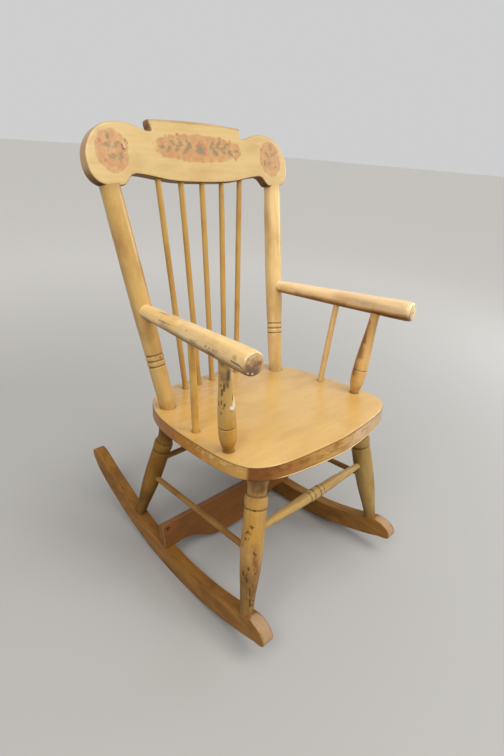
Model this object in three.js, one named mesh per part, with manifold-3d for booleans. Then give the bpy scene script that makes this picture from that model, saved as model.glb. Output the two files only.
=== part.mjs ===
// A small rocking chair in turned and sawn wood.
// Lengths are in millimetres, +Z is up, the sitter looks along -Y and +X is the sitter's left.
// The chair stands on the floor at z = 0, and the origin lies under the middle of its length.

import * as THREE from 'three';
import { mergeVertices } from 'three/addons/utils/BufferGeometryUtils.js';
import createManifold from 'manifold-3d';

const wasm = await createManifold();
wasm.setup();

// Finishes
const PAINTED_WOOD = 0xe0b56a;
const STAINED_WOOD = 0x9a6636;
const WOOD_ROUGHNESS = 0.5;
const STEEL = 0x4a443e;
const STEEL_ROUGHNESS = 0.6;

// Fits and fineness
const FIT = 0.3;
const SOCKET_END_ROOM = 1;
const WELD = 0.001;
const ROUND_SIDES = 16;
const DOWEL_SIDES = 12;
const CURVE_FINENESS = 2;
const TRIM_SIZE = 160;
const OVERRUN = 26;

// Seat: its top slopes down to the back. Outline shares are of half the width and of the depth,
// measured from the front edge.
const SEAT_HEIGHT = 300;
const SEAT_TILT = 3.43 * Math.PI / 180;
const SEAT_FRONT_Y = -173.5;
const SEAT_DEPTH = 325.9;
const SEAT_HALF_WIDTH = 175;
const SEAT_THICKNESS = 23;
const SEAT_EDGE_ROUNDING = 2.4;
const SEAT_EDGE_STEPS = 2;
const SEAT_FRONT_FLARE = 9;
const SEAT_HALF_OUTLINE_SHARES = [
  [0, 0], [0.2571, 0.0092], [0.4571, 0.0199], [0.6057, 0.0307], [0.72, 0.0445], [0.8057, 0.0614],
  [0.8743, 0.0844], [0.9286, 0.1151], [0.9657, 0.155], [0.9863, 0.201], [0.996, 0.2624], [1, 0.3421],
  [0.9971, 0.4219], [0.9897, 0.5017], [0.9794, 0.5753], [0.9634, 0.649], [0.9371, 0.7226],
  [0.9006, 0.7901], [0.8491, 0.8515], [0.7857, 0.9037], [0.7086, 0.9481], [0.6171, 0.9804],
  [0.5143, 0.9969], [0.3657, 1.0018], [0.1714, 1.0006], [0, 1],
];

// Crest rail: its foot is the lowest edge of its front face, over the seat and behind its back edge.
// Outline shares are of half the width and of the height up the raked board.
const CREST_OVER_SEAT = 331.2;
const CREST_BEHIND_SEAT = 9.3;
const CREST_RAKE = 15.8 * Math.PI / 180;
const CREST_THICKNESS = 18;
const CREST_HALF_WIDTH = 205.6;
const CREST_HEIGHT = 93.2;
const CREST_EDGE_ROUNDING = 1.8;
const CREST_EDGE_STEPS = 1;
const CREST_LAYERS = 4;
const CREST_ROLL_HEIGHT = 6;
const CREST_ROLL_FOOT_SHARE = 0.945;
const CREST_ROLL_TURN_SHARE = 0.62;
const CREST_RAISED_SHARES = [
  [0, 1], [0.1452, 0.9979], [0.3001, 0.9914], [0.4066, 0.9861], [0.4472, 0.9807], [0.453, 0.9614],
];
const CREST_STEP_SHARES = [[0.4453, 0.9013], [0.4385, 0.8455]];
const CREST_LOBE_SHARES = [
  [0.4472, 0.8326], [0.4792, 0.8348], [0.5227, 0.8562], [0.5712, 0.8906], [0.6292, 0.9227],
  [0.697, 0.9367], [0.7648, 0.927], [0.8277, 0.8948], [0.8833, 0.8369], [0.9293, 0.7511],
  [0.9681, 0.633], [0.9932, 0.4936], [1, 0.3541], [0.9913, 0.2253], [0.9681, 0.1245],
  [0.9322, 0.0506], [0.8858, 0.0102], [0.8325, 0.001],
];
const CREST_EAR_SHARES = [
  [0.789, 0], [0.7551, 0.002], [0.728, 0.0175], [0.7076, 0.0559], [0.6893, 0.1063], [0.6651, 0.1545],
  [0.6292, 0.1781],
];
const CREST_UNDERSIDE_SHARES = [
  [0.576, 0.1695], [0.5034, 0.147], [0.4356, 0.1212], [0.3485, 0.0912], [0.2565, 0.0719],
  [0.1452, 0.0622], [0, 0.059],
];

// Back posts. Turning shares, here and below, are of the length from foot to head and of the radius.
const POST_INSET = 43.6;
const POST_FROM_SEAT_BACK = 66.1;
const POST_HEAD_INSET = 35;
const POST_HEAD_SETBACK = 1.5;
const POST_RADIUS = 15.9;
const POST_TENON_RADIUS = 8;
const POST_TENON_LENGTH = 9;
const POST_HEAD_TENON_RADIUS = 5.2;
const POST_HEAD_TENON_LENGTH = 15;
const POST_TURNING_SHARES = [
  [0, 0.78], [0.0345, 0.811], [0.1034, 0.855], [0.2057, 0.893], [0.2115, 0.824], [0.2172, 0.899],
  [0.2276, 0.918], [0.2328, 0.899], [0.2385, 0.824], [0.2443, 0.899], [0.254, 0.918], [0.2598, 0.899],
  [0.2655, 0.824], [0.2713, 0.899], [0.3448, 0.943], [0.46, 0.981], [0.618, 1], [0.776, 0.987],
  [1, 0.956],
];

// Back spindles, spread evenly from the middle one
const SPINDLE_RADIUS = 4.8;
const SPINDLE_FOOT_SPACING = 31.2;
const SPINDLE_HEAD_SPACING = 43.3;
const SPINDLE_FROM_SEAT_BACK = 24.8;
const SPINDLE_SINK = 13;
const SPINDLE_STEPS = [2, 1, 0, -1, -2];

// Arms, from the line of the back post to the free front end
const ARM_OVER_SEAT = 153.8;
const ARM_REACH = 279.7;
const ARM_SPREAD = 33.8;
const ARM_RISE = 14;
const ARM_RADIUS = 16.3;
const ARM_TENON_RADIUS = 6.5;
const ARM_TENON_LENGTH = 12;
const ARM_TURNING_SHARES = [
  [0, 0.67], [0.0542, 0.675], [0.132, 0.712], [0.217, 0.749], [0.33, 0.791], [0.493, 0.859],
  [0.663, 0.908], [0.805, 0.957], [0.915, 1], [0.9645, 1], [0.9844, 0.969], [0.995, 0.883],
  [1, 0.736],
];

// Turned posts under the arms
const ARM_POST_INSET = 21.4;
const ARM_POST_FROM_SEAT_FRONT = 87.2;
const ARM_POST_PLACE_SHARE = 0.7755;
const ARM_POST_RADIUS = 12.9;
const ARM_POST_TENON_RADIUS = 5.6;
const ARM_POST_TENON_LENGTH = 12;
const ARM_POST_TURNING_SHARES = [
  [0, 0.574], [0.025, 0.605], [0.0625, 0.744], [0.1125, 0.907], [0.1688, 0.984], [0.2375, 1],
  [0.2662, 1], [0.275, 0.938], [0.2838, 0.992], [0.3625, 0.977], [0.45, 0.923], [0.5625, 0.822],
  [0.675, 0.713], [0.7875, 0.636], [0.8875, 0.605], [1, 0.605],
];

// Thin spindles under the arms
const ARM_SPINDLE_INSET = 23.4;
const ARM_SPINDLE_FROM_SEAT_FRONT = 162.2;
const ARM_SPINDLE_PLACE_SHARE = 0.5045;
const ARM_SPINDLE_RADIUS = 5.4;
const ARM_SPINDLE_SINK = 12;
const ARM_SPINDLE_HEAD_SINK = 9;

// Rockers: a sawn board on each side, the two closer together at the back.
// Nose and tail shares are of their length and of their rise over the end of the floor curve.
const ROCKER_FRONT_Y = -208.6;
const ROCKER_BACK_Y = 316.4;
const ROCKER_TOUCH_Y = 16.5;
const ROCKER_FLOOR_RADIUS = 584;
const ROCKER_TOP_RADIUS = 531;
const ROCKER_TOP_LOW_Y = 13.2;
const ROCKER_HEIGHT = 35.4;
const ROCKER_THICKNESS = 22;
const ROCKER_HALF_SPACING = 158.6;
const ROCKER_TOE_IN = 3.1 * Math.PI / 180;
const ROCKER_EDGE_ROUNDING = 1.6;
const ROCKER_EDGE_STEPS = 1;
const ROCKER_ARC_STEP = 14;
const ROCKER_NOSE_LENGTH = 50.6;
const ROCKER_NOSE_RISE = 31.3;
const ROCKER_NOSE_FLOOR_SHARE = 0.407;
const ROCKER_NOSE_SHARES = [
  [0.209, 0.067], [0.103, 0.118], [0.032, 0.201], [0, 0.339], [0.024, 0.498], [0.099, 0.674],
  [0.219, 0.828], [0.387, 0.955], [0.56, 1], [0.72, 0.985], [0.86, 0.93],
];
const ROCKER_TAIL_LENGTH = 116.4;
const ROCKER_TAIL_RISE = 36.2;
const ROCKER_TAIL_FLOOR_SHARE = 0.825;
const ROCKER_TAIL_SHARES = [
  [0.129, 0.099], [0.266, 0.243], [0.404, 0.403], [0.498, 0.536], [0.601, 0.68], [0.704, 0.823],
  [0.79, 0.928], [0.868, 0.989], [0.936, 0.989], [0.985, 0.917], [1, 0.785], [0.988, 0.63],
  [0.949, 0.42], [0.893, 0.232],
];

// Legs, from the middle of the rocker's top to the seat's underside
const FRONT_LEG_FOOT_Y = -158.8;
const FRONT_LEG_INSET = 53.6;
const FRONT_LEG_FROM_SEAT_FRONT = 55.9;
const FRONT_LEG_RADIUS = 17.5;
const FRONT_LEG_TURNING_SHARES = [
  [0, 0.594], [0.0631, 0.623], [0.1351, 0.691], [0.2162, 0.794], [0.2973, 0.891], [0.3964, 0.949],
  [0.5315, 0.977], [0.6577, 0.966], [0.7144, 0.949], [0.7225, 0.886], [0.7306, 0.943],
  [0.7477, 0.989], [0.7703, 1], [0.7901, 0.983], [0.8, 0.937], [0.8063, 0.857], [0.8288, 0.811],
  [0.8559, 0.823], [0.8919, 0.903], [0.9279, 1.017], [0.973, 1.131], [1, 1.166],
];
const REAR_LEG_FOOT_Y = 145.3;
const REAR_LEG_INSET = 54.2;
const REAR_LEG_FROM_SEAT_BACK = 64.6;
const REAR_LEG_RADIUS = 16.2;
const REAR_LEG_TURNING_SHARES = [
  [0, 0.593], [0.0619, 0.617], [0.1327, 0.685], [0.2124, 0.784], [0.292, 0.877], [0.3894, 0.938],
  [0.5221, 0.969], [0.646, 0.957], [0.6752, 0.944], [0.6823, 0.877], [0.6903, 0.938],
  [0.708, 0.988], [0.7301, 1], [0.7496, 0.982], [0.7593, 0.932], [0.7655, 0.852], [0.7876, 0.815],
  [0.8142, 0.827], [0.8496, 0.914], [0.885, 1.037], [0.9469, 1.148], [1, 1.185],
];
const LEG_TENON_RADIUS = 8.4;
const LEG_TENON_LENGTH = 9;
const LEG_FOOT_TENON_RADIUS = 5.6;
const LEG_FOOT_TENON_LENGTH = 12;

// Stretchers: their heights are where their lines meet the lines of the legs
const FRONT_STRETCHER_HEIGHT = 185;
const REAR_STRETCHER_HEIGHT = 177;
const SIDE_STRETCHER_FRONT_HEIGHT = 155;
const SIDE_STRETCHER_REAR_HEIGHT = 142;
const STRETCHER_PAST_LEG_MIDDLE = 4.5;
const SIDE_STRETCHER_RADIUS = 4.9;
const REAR_STRETCHER_RADIUS = 5;
const FRONT_STRETCHER_RADIUS = 9.9;
const FRONT_STRETCHER_TURNING_SHARES = [
  [0.0152, 1], [0.0317, 1], [0.0414, 0.869], [0.0552, 0.869], [0.0648, 0.99], [0.0993, 0.99],
  [0.1103, 0.869], [0.1655, 0.899], [0.3034, 0.869], [0.4828, 0.778], [0.6483, 0.667],
  [0.7724, 0.596], [0.84, 0.566], [1, 0.566],
];

// Cross board: it stands on the rockers, leans back and has an ogee lower edge.
// The shares of its lower edge are of its half length and of its depth, down its front face.
const BOARD_FRONT_Y = 56;
const BOARD_LEAN = 13 * Math.PI / 180;
const BOARD_THICKNESS = 12;
const BOARD_DEPTH = 73.6;
const BOARD_OVER_ROCKER = 42.6;
const BOARD_END_INSET = 1;
const BOARD_END_OVERLAP = 4;
const BOARD_EDGE_ROUNDING = 1;
const BOARD_LOWER_EDGE_SHARES = [
  [0.8098, 0.6], [0.7362, 0.6046], [0.6626, 0.6359], [0.589, 0.6929], [0.5153, 0.7717],
  [0.4417, 0.8505], [0.3681, 0.9185], [0.2883, 0.9647], [0.1963, 0.9891], [0.0859, 0.9986], [0, 1],
];

// Screws that hold the board's ends to the rockers, and nails left in its top edge
const SCREW_DROP = 6;
const SCREW_LENGTH = 52;
const SCREW_RADIUS = 1.9;
const SCREW_HEAD_RADIUS = 3.5;
const SCREW_HEAD_HEIGHT = 2.4;
const SCREW_POINT_LENGTH = 5;
const SCREW_POINT_RADIUS = 0.5;
const NAIL_PLACES_SHARES = [-0.195, 0.05];
const NAIL_LENGTH = 18;
const NAIL_RADIUS = 0.8;
const NAIL_HEAD_RADIUS = 1.6;
const NAIL_HEAD_HEIGHT = 0.8;
const NAIL_STAND = 1.6;

// Points and directions

function point(x, y, z) {
  return new THREE.Vector3(x, y, z);
}

const UP = point(0, 0, 1);

function unit(from, to) {
  return to.clone().sub(from).normalize();
}

function reversed(direction) {
  return direction.clone().negate();
}

function beyond(from, direction, distance) {
  return from.clone().addScaledVector(direction, distance);
}

// The point on the line of two places at a given height.
function atHeight(from, to, z) {
  return from.clone().lerp(to, (z - from.z) / (to.z - from.z));
}

// Scales a table of shares, in pairs, to lengths.
function scaled(shares, firstLength, secondLength) {
  return shares.map(([first, second]) => [first * firstLength, second * secondLength]);
}

// Reads the second value of a table where its first has a given value.
function readTable(table, at) {
  const next = table.findIndex(([first], i) => i > 0 && (first - at) * (table[i - 1][0] - at) <= 0);
  const [a0, b0] = table[next - 1];
  const [a1, b1] = table[next];
  return b0 + (b1 - b0) * (at - a0) / (a1 - a0);
}

// Solids

// Welds a closed geometry and drops the triangles that a lathe leaves flat on its axis.
function toSolid(geometry) {
  const bare = geometry.clone();
  bare.deleteAttribute('normal');
  bare.deleteAttribute('uv');
  const welded = mergeVertices(bare, WELD);
  const corners = welded.index.array;
  const kept = [];
  for (let i = 0; i < corners.length; i += 3) {
    const [a, b, c] = [corners[i], corners[i + 1], corners[i + 2]];
    if (a !== b && b !== c && c !== a) {
      kept.push(a, b, c);
    }
  }
  return new wasm.Manifold(new wasm.Mesh({
    numProp: 3,
    vertProperties: new Float32Array(welded.attributes.position.array),
    triVerts: new Uint32Array(kept),
  }));
}

function toGeometry(solid) {
  const mesh = solid.getMesh();
  const geometry = new THREE.BufferGeometry();
  geometry.setAttribute('position', new THREE.BufferAttribute(new Float32Array(mesh.vertProperties), 3));
  geometry.setIndex(new THREE.BufferAttribute(new Uint32Array(mesh.triVerts), 1));
  const faceted = geometry.toNonIndexed();
  faceted.computeVertexNormals();
  return faceted;
}

function less(body, tools) {
  return tools.reduce((left, tool) => left.subtract(tool), body);
}

function plus(body, tools) {
  return tools.reduce((whole, tool) => whole.add(tool), body);
}

function largest(solid) {
  return solid.decompose().sort((a, b) => b.volume() - a.volume())[0];
}

// Pieces of one side are made for +X, and their partners on -X are their mirror images.
function mirror(solid) {
  return solid.mirror([1, 0, 0]);
}

function bothSides(solids) {
  return [...solids, ...solids.map(mirror)];
}

// Turned pieces

// A solid of revolution; a station is [distance from the start, radius].
function turned(start, direction, stations, sides) {
  const profile = [
    new THREE.Vector2(0, stations[0][0]),
    ...stations.map(([along, radius]) => new THREE.Vector2(radius, along)),
    new THREE.Vector2(0, stations[stations.length - 1][0]),
  ];
  const geometry = new THREE.LatheGeometry(profile, sides);
  geometry.applyQuaternion(new THREE.Quaternion().setFromUnitVectors(point(0, 1, 0), direction));
  geometry.translate(start.x, start.y, start.z);
  return toSolid(geometry);
}

function rod(from, to, radius) {
  return turned(from, unit(from, to), [[0, radius], [from.distanceTo(to), radius]], DOWEL_SIDES);
}

// A turned body, swollen by an allowance, that runs on past both ends before they are trimmed.
function longBody({ foot, head, up }, turningShares, radius, allowance) {
  const length = foot.distanceTo(head);
  const stations = scaled(turningShares, length, radius).map(([along, r]) => [along, r + allowance]);
  const [, firstRadius] = stations[0];
  const [, lastRadius] = stations[stations.length - 1];
  const ends = [[-OVERRUN, firstRadius], [length + OVERRUN, lastRadius]];
  return turned(foot, up, [ends[0], ...stations, ends[1]], ROUND_SIDES);
}

// A round tenon that leaves a shoulder; it starts a little inside its own piece.
function tenon(shoulder, direction, length, radius) {
  return rod(beyond(shoulder, direction, -radius), beyond(shoulder, direction, length), radius);
}

// The hole for a tenon or a dowel that sinks a length into a piece.
function socket(mouth, direction, length, radius) {
  const start = beyond(mouth, direction, -OVERRUN / 2);
  return rod(start, beyond(mouth, direction, length + SOCKET_END_ROOM), radius + FIT);
}

// A block whose lower face lies through a place, square to a direction, to trim what is beyond it.
function blockBeyond(place, direction) {
  const geometry = new THREE.BoxGeometry(TRIM_SIZE, TRIM_SIZE, TRIM_SIZE);
  const centre = beyond(place, direction, TRIM_SIZE / 2);
  geometry.applyQuaternion(new THREE.Quaternion().setFromUnitVectors(UP, direction));
  geometry.translate(centre.x, centre.y, centre.z);
  return toSolid(geometry);
}

// Sawn pieces

function corners(points) {
  return points.map(([x, y]) => new THREE.Vector2(x, y));
}

function curve(points) {
  return new THREE.SplineCurve(corners(points)).getPoints((points.length - 1) * CURVE_FINENESS);
}

// Completes a half outline, given from the middle round to the middle, with its mirror image.
function wholeOutline(half) {
  const inner = half.slice(1, -1).reverse();
  return new THREE.Shape([...half, ...inner.map(({ x, y }) => new THREE.Vector2(-x, y))]);
}

function sawn(shape, thickness, rounding, roundingSteps, layers) {
  return new THREE.ExtrudeGeometry(shape, {
    depth: thickness - 2 * rounding,
    steps: layers,
    bevelThickness: rounding,
    bevelSize: rounding,
    bevelOffset: -rounding,
    bevelSegments: roundingSteps,
  }).translate(0, 0, rounding);
}

// Moves each corner of a geometry to the place that a rule gives it.
function reshaped(geometry, rule) {
  const places = geometry.attributes.position;
  for (let i = 0; i < places.count; i += 1) {
    const moved = rule(point(places.getX(i), places.getY(i), places.getZ(i)));
    places.setXYZ(i, moved.x, moved.y, moved.z);
  }
  return geometry;
}

// Seat

const SEAT_BACK_Y = SEAT_FRONT_Y + SEAT_DEPTH;
const SEAT_UP = point(0, Math.sin(SEAT_TILT), Math.cos(SEAT_TILT));

// A place on the seat's top, or a distance under it.
function seatPoint(x, y, under) {
  return point(x, y, SEAT_HEIGHT - y * Math.tan(SEAT_TILT) - under / Math.cos(SEAT_TILT));
}

// The lower side of the front edge stands further forward than its upper side.
function flareAt(place) {
  const across = Math.max(0, 1 - (place.x / SEAT_HALF_WIDTH) ** 2);
  const forward = Math.max(0, place.y / SEAT_FRONT_Y);
  return SEAT_FRONT_FLARE * across * forward ** 2 * (1 - place.z / SEAT_THICKNESS);
}

function seatBody() {
  const half = scaled(SEAT_HALF_OUTLINE_SHARES, SEAT_HALF_WIDTH, SEAT_DEPTH);
  const outline = wholeOutline(curve(half.map(([x, y]) => [x, SEAT_FRONT_Y + y])));
  const flat = sawn(outline, SEAT_THICKNESS, SEAT_EDGE_ROUNDING, SEAT_EDGE_STEPS, 1);
  return toSolid(reshaped(flat, (place) => (
    seatPoint(place.x, place.y - flareAt(place), SEAT_THICKNESS - place.z)
  )));
}

function seat() {
  const post = postAxis();
  const armPostLine = armPostAxis();
  const armSpindleLine = armSpindleAxis();
  return less(seatBody(), [
    ...bothSides([
      socket(post.foot, reversed(post.up), POST_TENON_LENGTH, POST_TENON_RADIUS),
      socket(armPostLine.foot, reversed(armPostLine.up), ARM_POST_TENON_LENGTH, ARM_POST_TENON_RADIUS),
      socket(armSpindleLine.foot, reversed(armSpindleLine.up), ARM_SPINDLE_SINK, ARM_SPINDLE_RADIUS),
      ...[frontLegAxis(), rearLegAxis()].map(({ head, up }) => (
        socket(head, up, LEG_TENON_LENGTH, LEG_TENON_RADIUS)
      )),
    ]),
    ...SPINDLE_STEPS.map(spindleAxis).map(({ foot, up }) => (
      socket(foot, reversed(up), SPINDLE_SINK, SPINDLE_RADIUS)
    )),
  ]);
}

// Crest rail

const CREST_UP = point(0, Math.sin(CREST_RAKE), Math.cos(CREST_RAKE));

// A place on the crest's front face, s up the board, or a distance behind it.
function crestPoint(x, s, behind) {
  return point(
    x,
    SEAT_BACK_Y + CREST_BEHIND_SEAT + s * Math.sin(CREST_RAKE) + behind * Math.cos(CREST_RAKE),
    SEAT_HEIGHT + CREST_OVER_SEAT + s * Math.cos(CREST_RAKE) - behind * Math.sin(CREST_RAKE),
  );
}

function crestTable(shares) {
  return scaled(shares, CREST_HALF_WIDTH, CREST_HEIGHT);
}

// The raised middle is rolled: its top rises in a round from the front face toward the back.
function rollAt(s, behind) {
  const foot = CREST_ROLL_FOOT_SHARE * CREST_HEIGHT;
  const raised = Math.max(0, (s - foot) / (CREST_HEIGHT - foot));
  const turn = Math.PI * CREST_ROLL_TURN_SHARE * Math.sqrt(Math.max(0, behind / CREST_THICKNESS));
  return CREST_ROLL_HEIGHT * raised * Math.sin(turn);
}

function crestBody() {
  const outline = wholeOutline([
    ...corners(crestTable(CREST_RAISED_SHARES)),
    ...corners(crestTable(CREST_STEP_SHARES)),
    ...curve(crestTable(CREST_LOBE_SHARES)),
    ...corners(crestTable(CREST_EAR_SHARES)),
    ...curve(crestTable(CREST_UNDERSIDE_SHARES)),
  ]);
  const flat = sawn(outline, CREST_THICKNESS, CREST_EDGE_ROUNDING, CREST_EDGE_STEPS, CREST_LAYERS);
  return toSolid(reshaped(flat, ({ x, y, z }) => {
    const behind = CREST_THICKNESS - z;
    return crestPoint(x, y + rollAt(y, behind), behind);
  }));
}

function crestRail() {
  const post = postAxis();
  return less(crestBody(), [
    ...bothSides([socket(post.head, post.up, POST_HEAD_TENON_LENGTH, POST_HEAD_TENON_RADIUS)]),
    ...SPINDLE_STEPS.map(spindleAxis).map(({ head, up }) => socket(head, up, SPINDLE_SINK, SPINDLE_RADIUS)),
  ]);
}

// Back posts

function postAxis() {
  const foot = seatPoint(SEAT_HALF_WIDTH - POST_INSET, SEAT_BACK_Y - POST_FROM_SEAT_BACK, 0);
  const head = crestPoint(CREST_HALF_WIDTH - POST_HEAD_INSET, 0, CREST_THICKNESS / 2 + POST_HEAD_SETBACK);
  return { foot, head, up: unit(foot, head) };
}

function postBody(allowance) {
  return longBody(postAxis(), POST_TURNING_SHARES, POST_RADIUS, allowance);
}

function backPost() {
  const { foot, head, up } = postAxis();
  const trimmed = less(postBody(0), [
    blockBeyond(beyond(foot, SEAT_UP, FIT), reversed(SEAT_UP)),
    blockBeyond(beyond(head, CREST_UP, -FIT), CREST_UP),
  ]);
  const whole = plus(trimmed, [
    tenon(foot, reversed(up), POST_TENON_LENGTH, POST_TENON_RADIUS),
    tenon(head, up, POST_HEAD_TENON_LENGTH, POST_HEAD_TENON_RADIUS),
  ]);
  const { shoulder, backward } = armJoint();
  return less(whole, [socket(shoulder, backward, ARM_TENON_LENGTH, ARM_TENON_RADIUS)]);
}

// Back spindles

function spindleAxis(step) {
  const foot = seatPoint(step * SPINDLE_FOOT_SPACING, SEAT_BACK_Y - SPINDLE_FROM_SEAT_BACK, 0);
  const headX = step * SPINDLE_HEAD_SPACING;
  const headS = readTable(crestTable(CREST_UNDERSIDE_SHARES), Math.abs(headX));
  const head = crestPoint(headX, headS, CREST_THICKNESS / 2);
  return { foot, head, up: unit(foot, head) };
}

function backSpindle(step) {
  const { foot, head, up } = spindleAxis(step);
  return rod(beyond(foot, up, -SPINDLE_SINK), beyond(head, up, SPINDLE_SINK), SPINDLE_RADIUS);
}

// Arms

function armAxis() {
  const post = postAxis();
  const foot = atHeight(post.foot, post.head, SEAT_HEIGHT + ARM_OVER_SEAT);
  const head = foot.clone().add(point(ARM_SPREAD, -ARM_REACH, ARM_RISE));
  return { foot, head, up: unit(foot, head) };
}

// Where the arm's rear end butts on the back post.
function armJoint() {
  const { foot, up } = armAxis();
  const post = postAxis();
  const share = post.foot.distanceTo(foot) / post.foot.distanceTo(post.head);
  const postRadius = POST_RADIUS * readTable(POST_TURNING_SHARES, share);
  return { shoulder: beyond(foot, up, postRadius), backward: reversed(up) };
}

function armBody(allowance) {
  const { foot, head, up } = armAxis();
  const stations = scaled(ARM_TURNING_SHARES, foot.distanceTo(head), ARM_RADIUS);
  return turned(foot, up, stations.map(([along, radius]) => [along, radius + allowance]), ROUND_SIDES);
}

// The post or spindle whose head is on the arm's line, and the place where it enters the arm.
function underArm(foot, placeShare) {
  const arm = armAxis();
  const head = arm.foot.clone().lerp(arm.head, placeShare);
  const up = unit(foot, head);
  const shoulder = beyond(head, up, -ARM_RADIUS * readTable(ARM_TURNING_SHARES, placeShare));
  return { foot, head, up, shoulder };
}

function arm() {
  const { shoulder, backward } = armJoint();
  const scribed = largest(less(armBody(0), [postBody(FIT)]));
  const whole = plus(scribed, [tenon(shoulder, backward, ARM_TENON_LENGTH, ARM_TENON_RADIUS)]);
  const post = armPostAxis();
  const spindle = armSpindleAxis();
  return less(whole, [
    socket(post.shoulder, post.up, ARM_POST_TENON_LENGTH, ARM_POST_TENON_RADIUS),
    socket(spindle.shoulder, spindle.up, ARM_SPINDLE_HEAD_SINK, ARM_SPINDLE_RADIUS),
  ]);
}

// Turned posts and thin spindles under the arms

function armPostAxis() {
  const x = SEAT_HALF_WIDTH - ARM_POST_INSET;
  return underArm(seatPoint(x, SEAT_FRONT_Y + ARM_POST_FROM_SEAT_FRONT, 0), ARM_POST_PLACE_SHARE);
}

function armSpindleAxis() {
  const x = SEAT_HALF_WIDTH - ARM_SPINDLE_INSET;
  return underArm(seatPoint(x, SEAT_FRONT_Y + ARM_SPINDLE_FROM_SEAT_FRONT, 0), ARM_SPINDLE_PLACE_SHARE);
}

function armPost() {
  const axis = armPostAxis();
  const body = longBody(axis, ARM_POST_TURNING_SHARES, ARM_POST_RADIUS, 0);
  const scribed = largest(less(body, [
    blockBeyond(beyond(axis.foot, SEAT_UP, FIT), reversed(SEAT_UP)),
    blockBeyond(axis.head, axis.up),
    armBody(FIT),
  ]));
  return plus(scribed, [
    tenon(axis.foot, reversed(axis.up), ARM_POST_TENON_LENGTH, ARM_POST_TENON_RADIUS),
    tenon(axis.shoulder, axis.up, ARM_POST_TENON_LENGTH, ARM_POST_TENON_RADIUS),
  ]);
}

function armSpindle() {
  const { foot, shoulder, up } = armSpindleAxis();
  const from = beyond(foot, up, -ARM_SPINDLE_SINK);
  return rod(from, beyond(shoulder, up, ARM_SPINDLE_HEAD_SINK), ARM_SPINDLE_RADIUS);
}

// Rockers

function arcZ(radius, lowY, y) {
  return radius - Math.sqrt(radius ** 2 - (y - lowY) ** 2);
}

function rockerFloorZ(y) {
  return arcZ(ROCKER_FLOOR_RADIUS, ROCKER_TOUCH_Y, y);
}

function rockerTopZ(y) {
  return ROCKER_HEIGHT + arcZ(ROCKER_TOP_RADIUS, ROCKER_TOP_LOW_Y, y);
}

function rockerMiddleX(y) {
  return ROCKER_HALF_SPACING - y * Math.tan(ROCKER_TOE_IN);
}

function arcPoints(fromY, toY, heightAt) {
  const count = Math.round(Math.abs(toY - fromY) / ROCKER_ARC_STEP);
  return Array.from({ length: count + 1 }, (unused, i) => {
    const y = fromY + (toY - fromY) * i / count;
    return new THREE.Vector2(y, heightAt(y));
  });
}

// The points of an end of the rocker, placed from a start and from the end of the floor curve.
function endPoints(shares, startY, length, floorZ, rise) {
  return corners(scaled(shares, length, rise).map(([along, up]) => [startY + along, floorZ + up]));
}

function rockerOutline() {
  const noseFloorY = ROCKER_FRONT_Y + ROCKER_NOSE_LENGTH * ROCKER_NOSE_FLOOR_SHARE;
  const tailStartY = ROCKER_BACK_Y - ROCKER_TAIL_LENGTH;
  const tailFloorY = tailStartY + ROCKER_TAIL_LENGTH * ROCKER_TAIL_FLOOR_SHARE;
  const nose = endPoints(
    ROCKER_NOSE_SHARES, ROCKER_FRONT_Y, ROCKER_NOSE_LENGTH, rockerFloorZ(noseFloorY), ROCKER_NOSE_RISE,
  );
  const tail = endPoints(
    ROCKER_TAIL_SHARES, tailStartY, ROCKER_TAIL_LENGTH, rockerFloorZ(tailFloorY), ROCKER_TAIL_RISE,
  );
  return new THREE.Shape([
    ...arcPoints(ROCKER_TOUCH_Y, tailFloorY, rockerFloorZ),
    ...tail.reverse(),
    ...arcPoints(tailStartY, ROCKER_FRONT_Y + ROCKER_NOSE_LENGTH, rockerTopZ),
    ...nose.reverse(),
    ...arcPoints(noseFloorY, ROCKER_TOUCH_Y, rockerFloorZ).slice(0, -1),
  ]);
}

// The board stands on edge, its outline drawn in y and z, and is turned in toward the back.
function rockerBody(thickness) {
  const flat = sawn(rockerOutline(), thickness, ROCKER_EDGE_ROUNDING, ROCKER_EDGE_STEPS, 1);
  const standing = reshaped(flat, ({ x, y, z }) => point(z - thickness / 2 + rockerMiddleX(x), x, y));
  return toSolid(standing);
}

// The rocker, widened and raised by the fit, that what stands on it is shaped to.
function rockerToScribe() {
  return rockerBody(2 * ROCKER_THICKNESS).translate([0, 0, FIT]);
}

function rocker() {
  return less(rockerBody(ROCKER_THICKNESS), [
    ...[frontLegAxis(), rearLegAxis()].map(({ foot, up }) => (
      socket(foot, reversed(up), LEG_FOOT_TENON_LENGTH, LEG_FOOT_TENON_RADIUS)
    )),
    screwHole(),
  ]);
}

// Legs

function legAxis(footY, headX, headY) {
  const foot = point(rockerMiddleX(footY), footY, rockerTopZ(footY));
  const head = seatPoint(headX, headY, SEAT_THICKNESS);
  return { foot, head, up: unit(foot, head) };
}

function frontLegAxis() {
  const headX = SEAT_HALF_WIDTH - FRONT_LEG_INSET;
  return legAxis(FRONT_LEG_FOOT_Y, headX, SEAT_FRONT_Y + FRONT_LEG_FROM_SEAT_FRONT);
}

function rearLegAxis() {
  return legAxis(REAR_LEG_FOOT_Y, SEAT_HALF_WIDTH - REAR_LEG_INSET, SEAT_BACK_Y - REAR_LEG_FROM_SEAT_BACK);
}

function leg(axis, turningShares, radius, stretcherHoles) {
  const trimmed = less(longBody(axis, turningShares, radius, 0), [
    blockBeyond(beyond(axis.head, SEAT_UP, -FIT), SEAT_UP),
    rockerToScribe(),
  ]);
  const whole = plus(largest(trimmed), [
    tenon(axis.head, axis.up, LEG_TENON_LENGTH, LEG_TENON_RADIUS),
    tenon(axis.foot, reversed(axis.up), LEG_FOOT_TENON_LENGTH, LEG_FOOT_TENON_RADIUS),
  ]);
  return less(whole, stretcherHoles);
}

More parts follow.
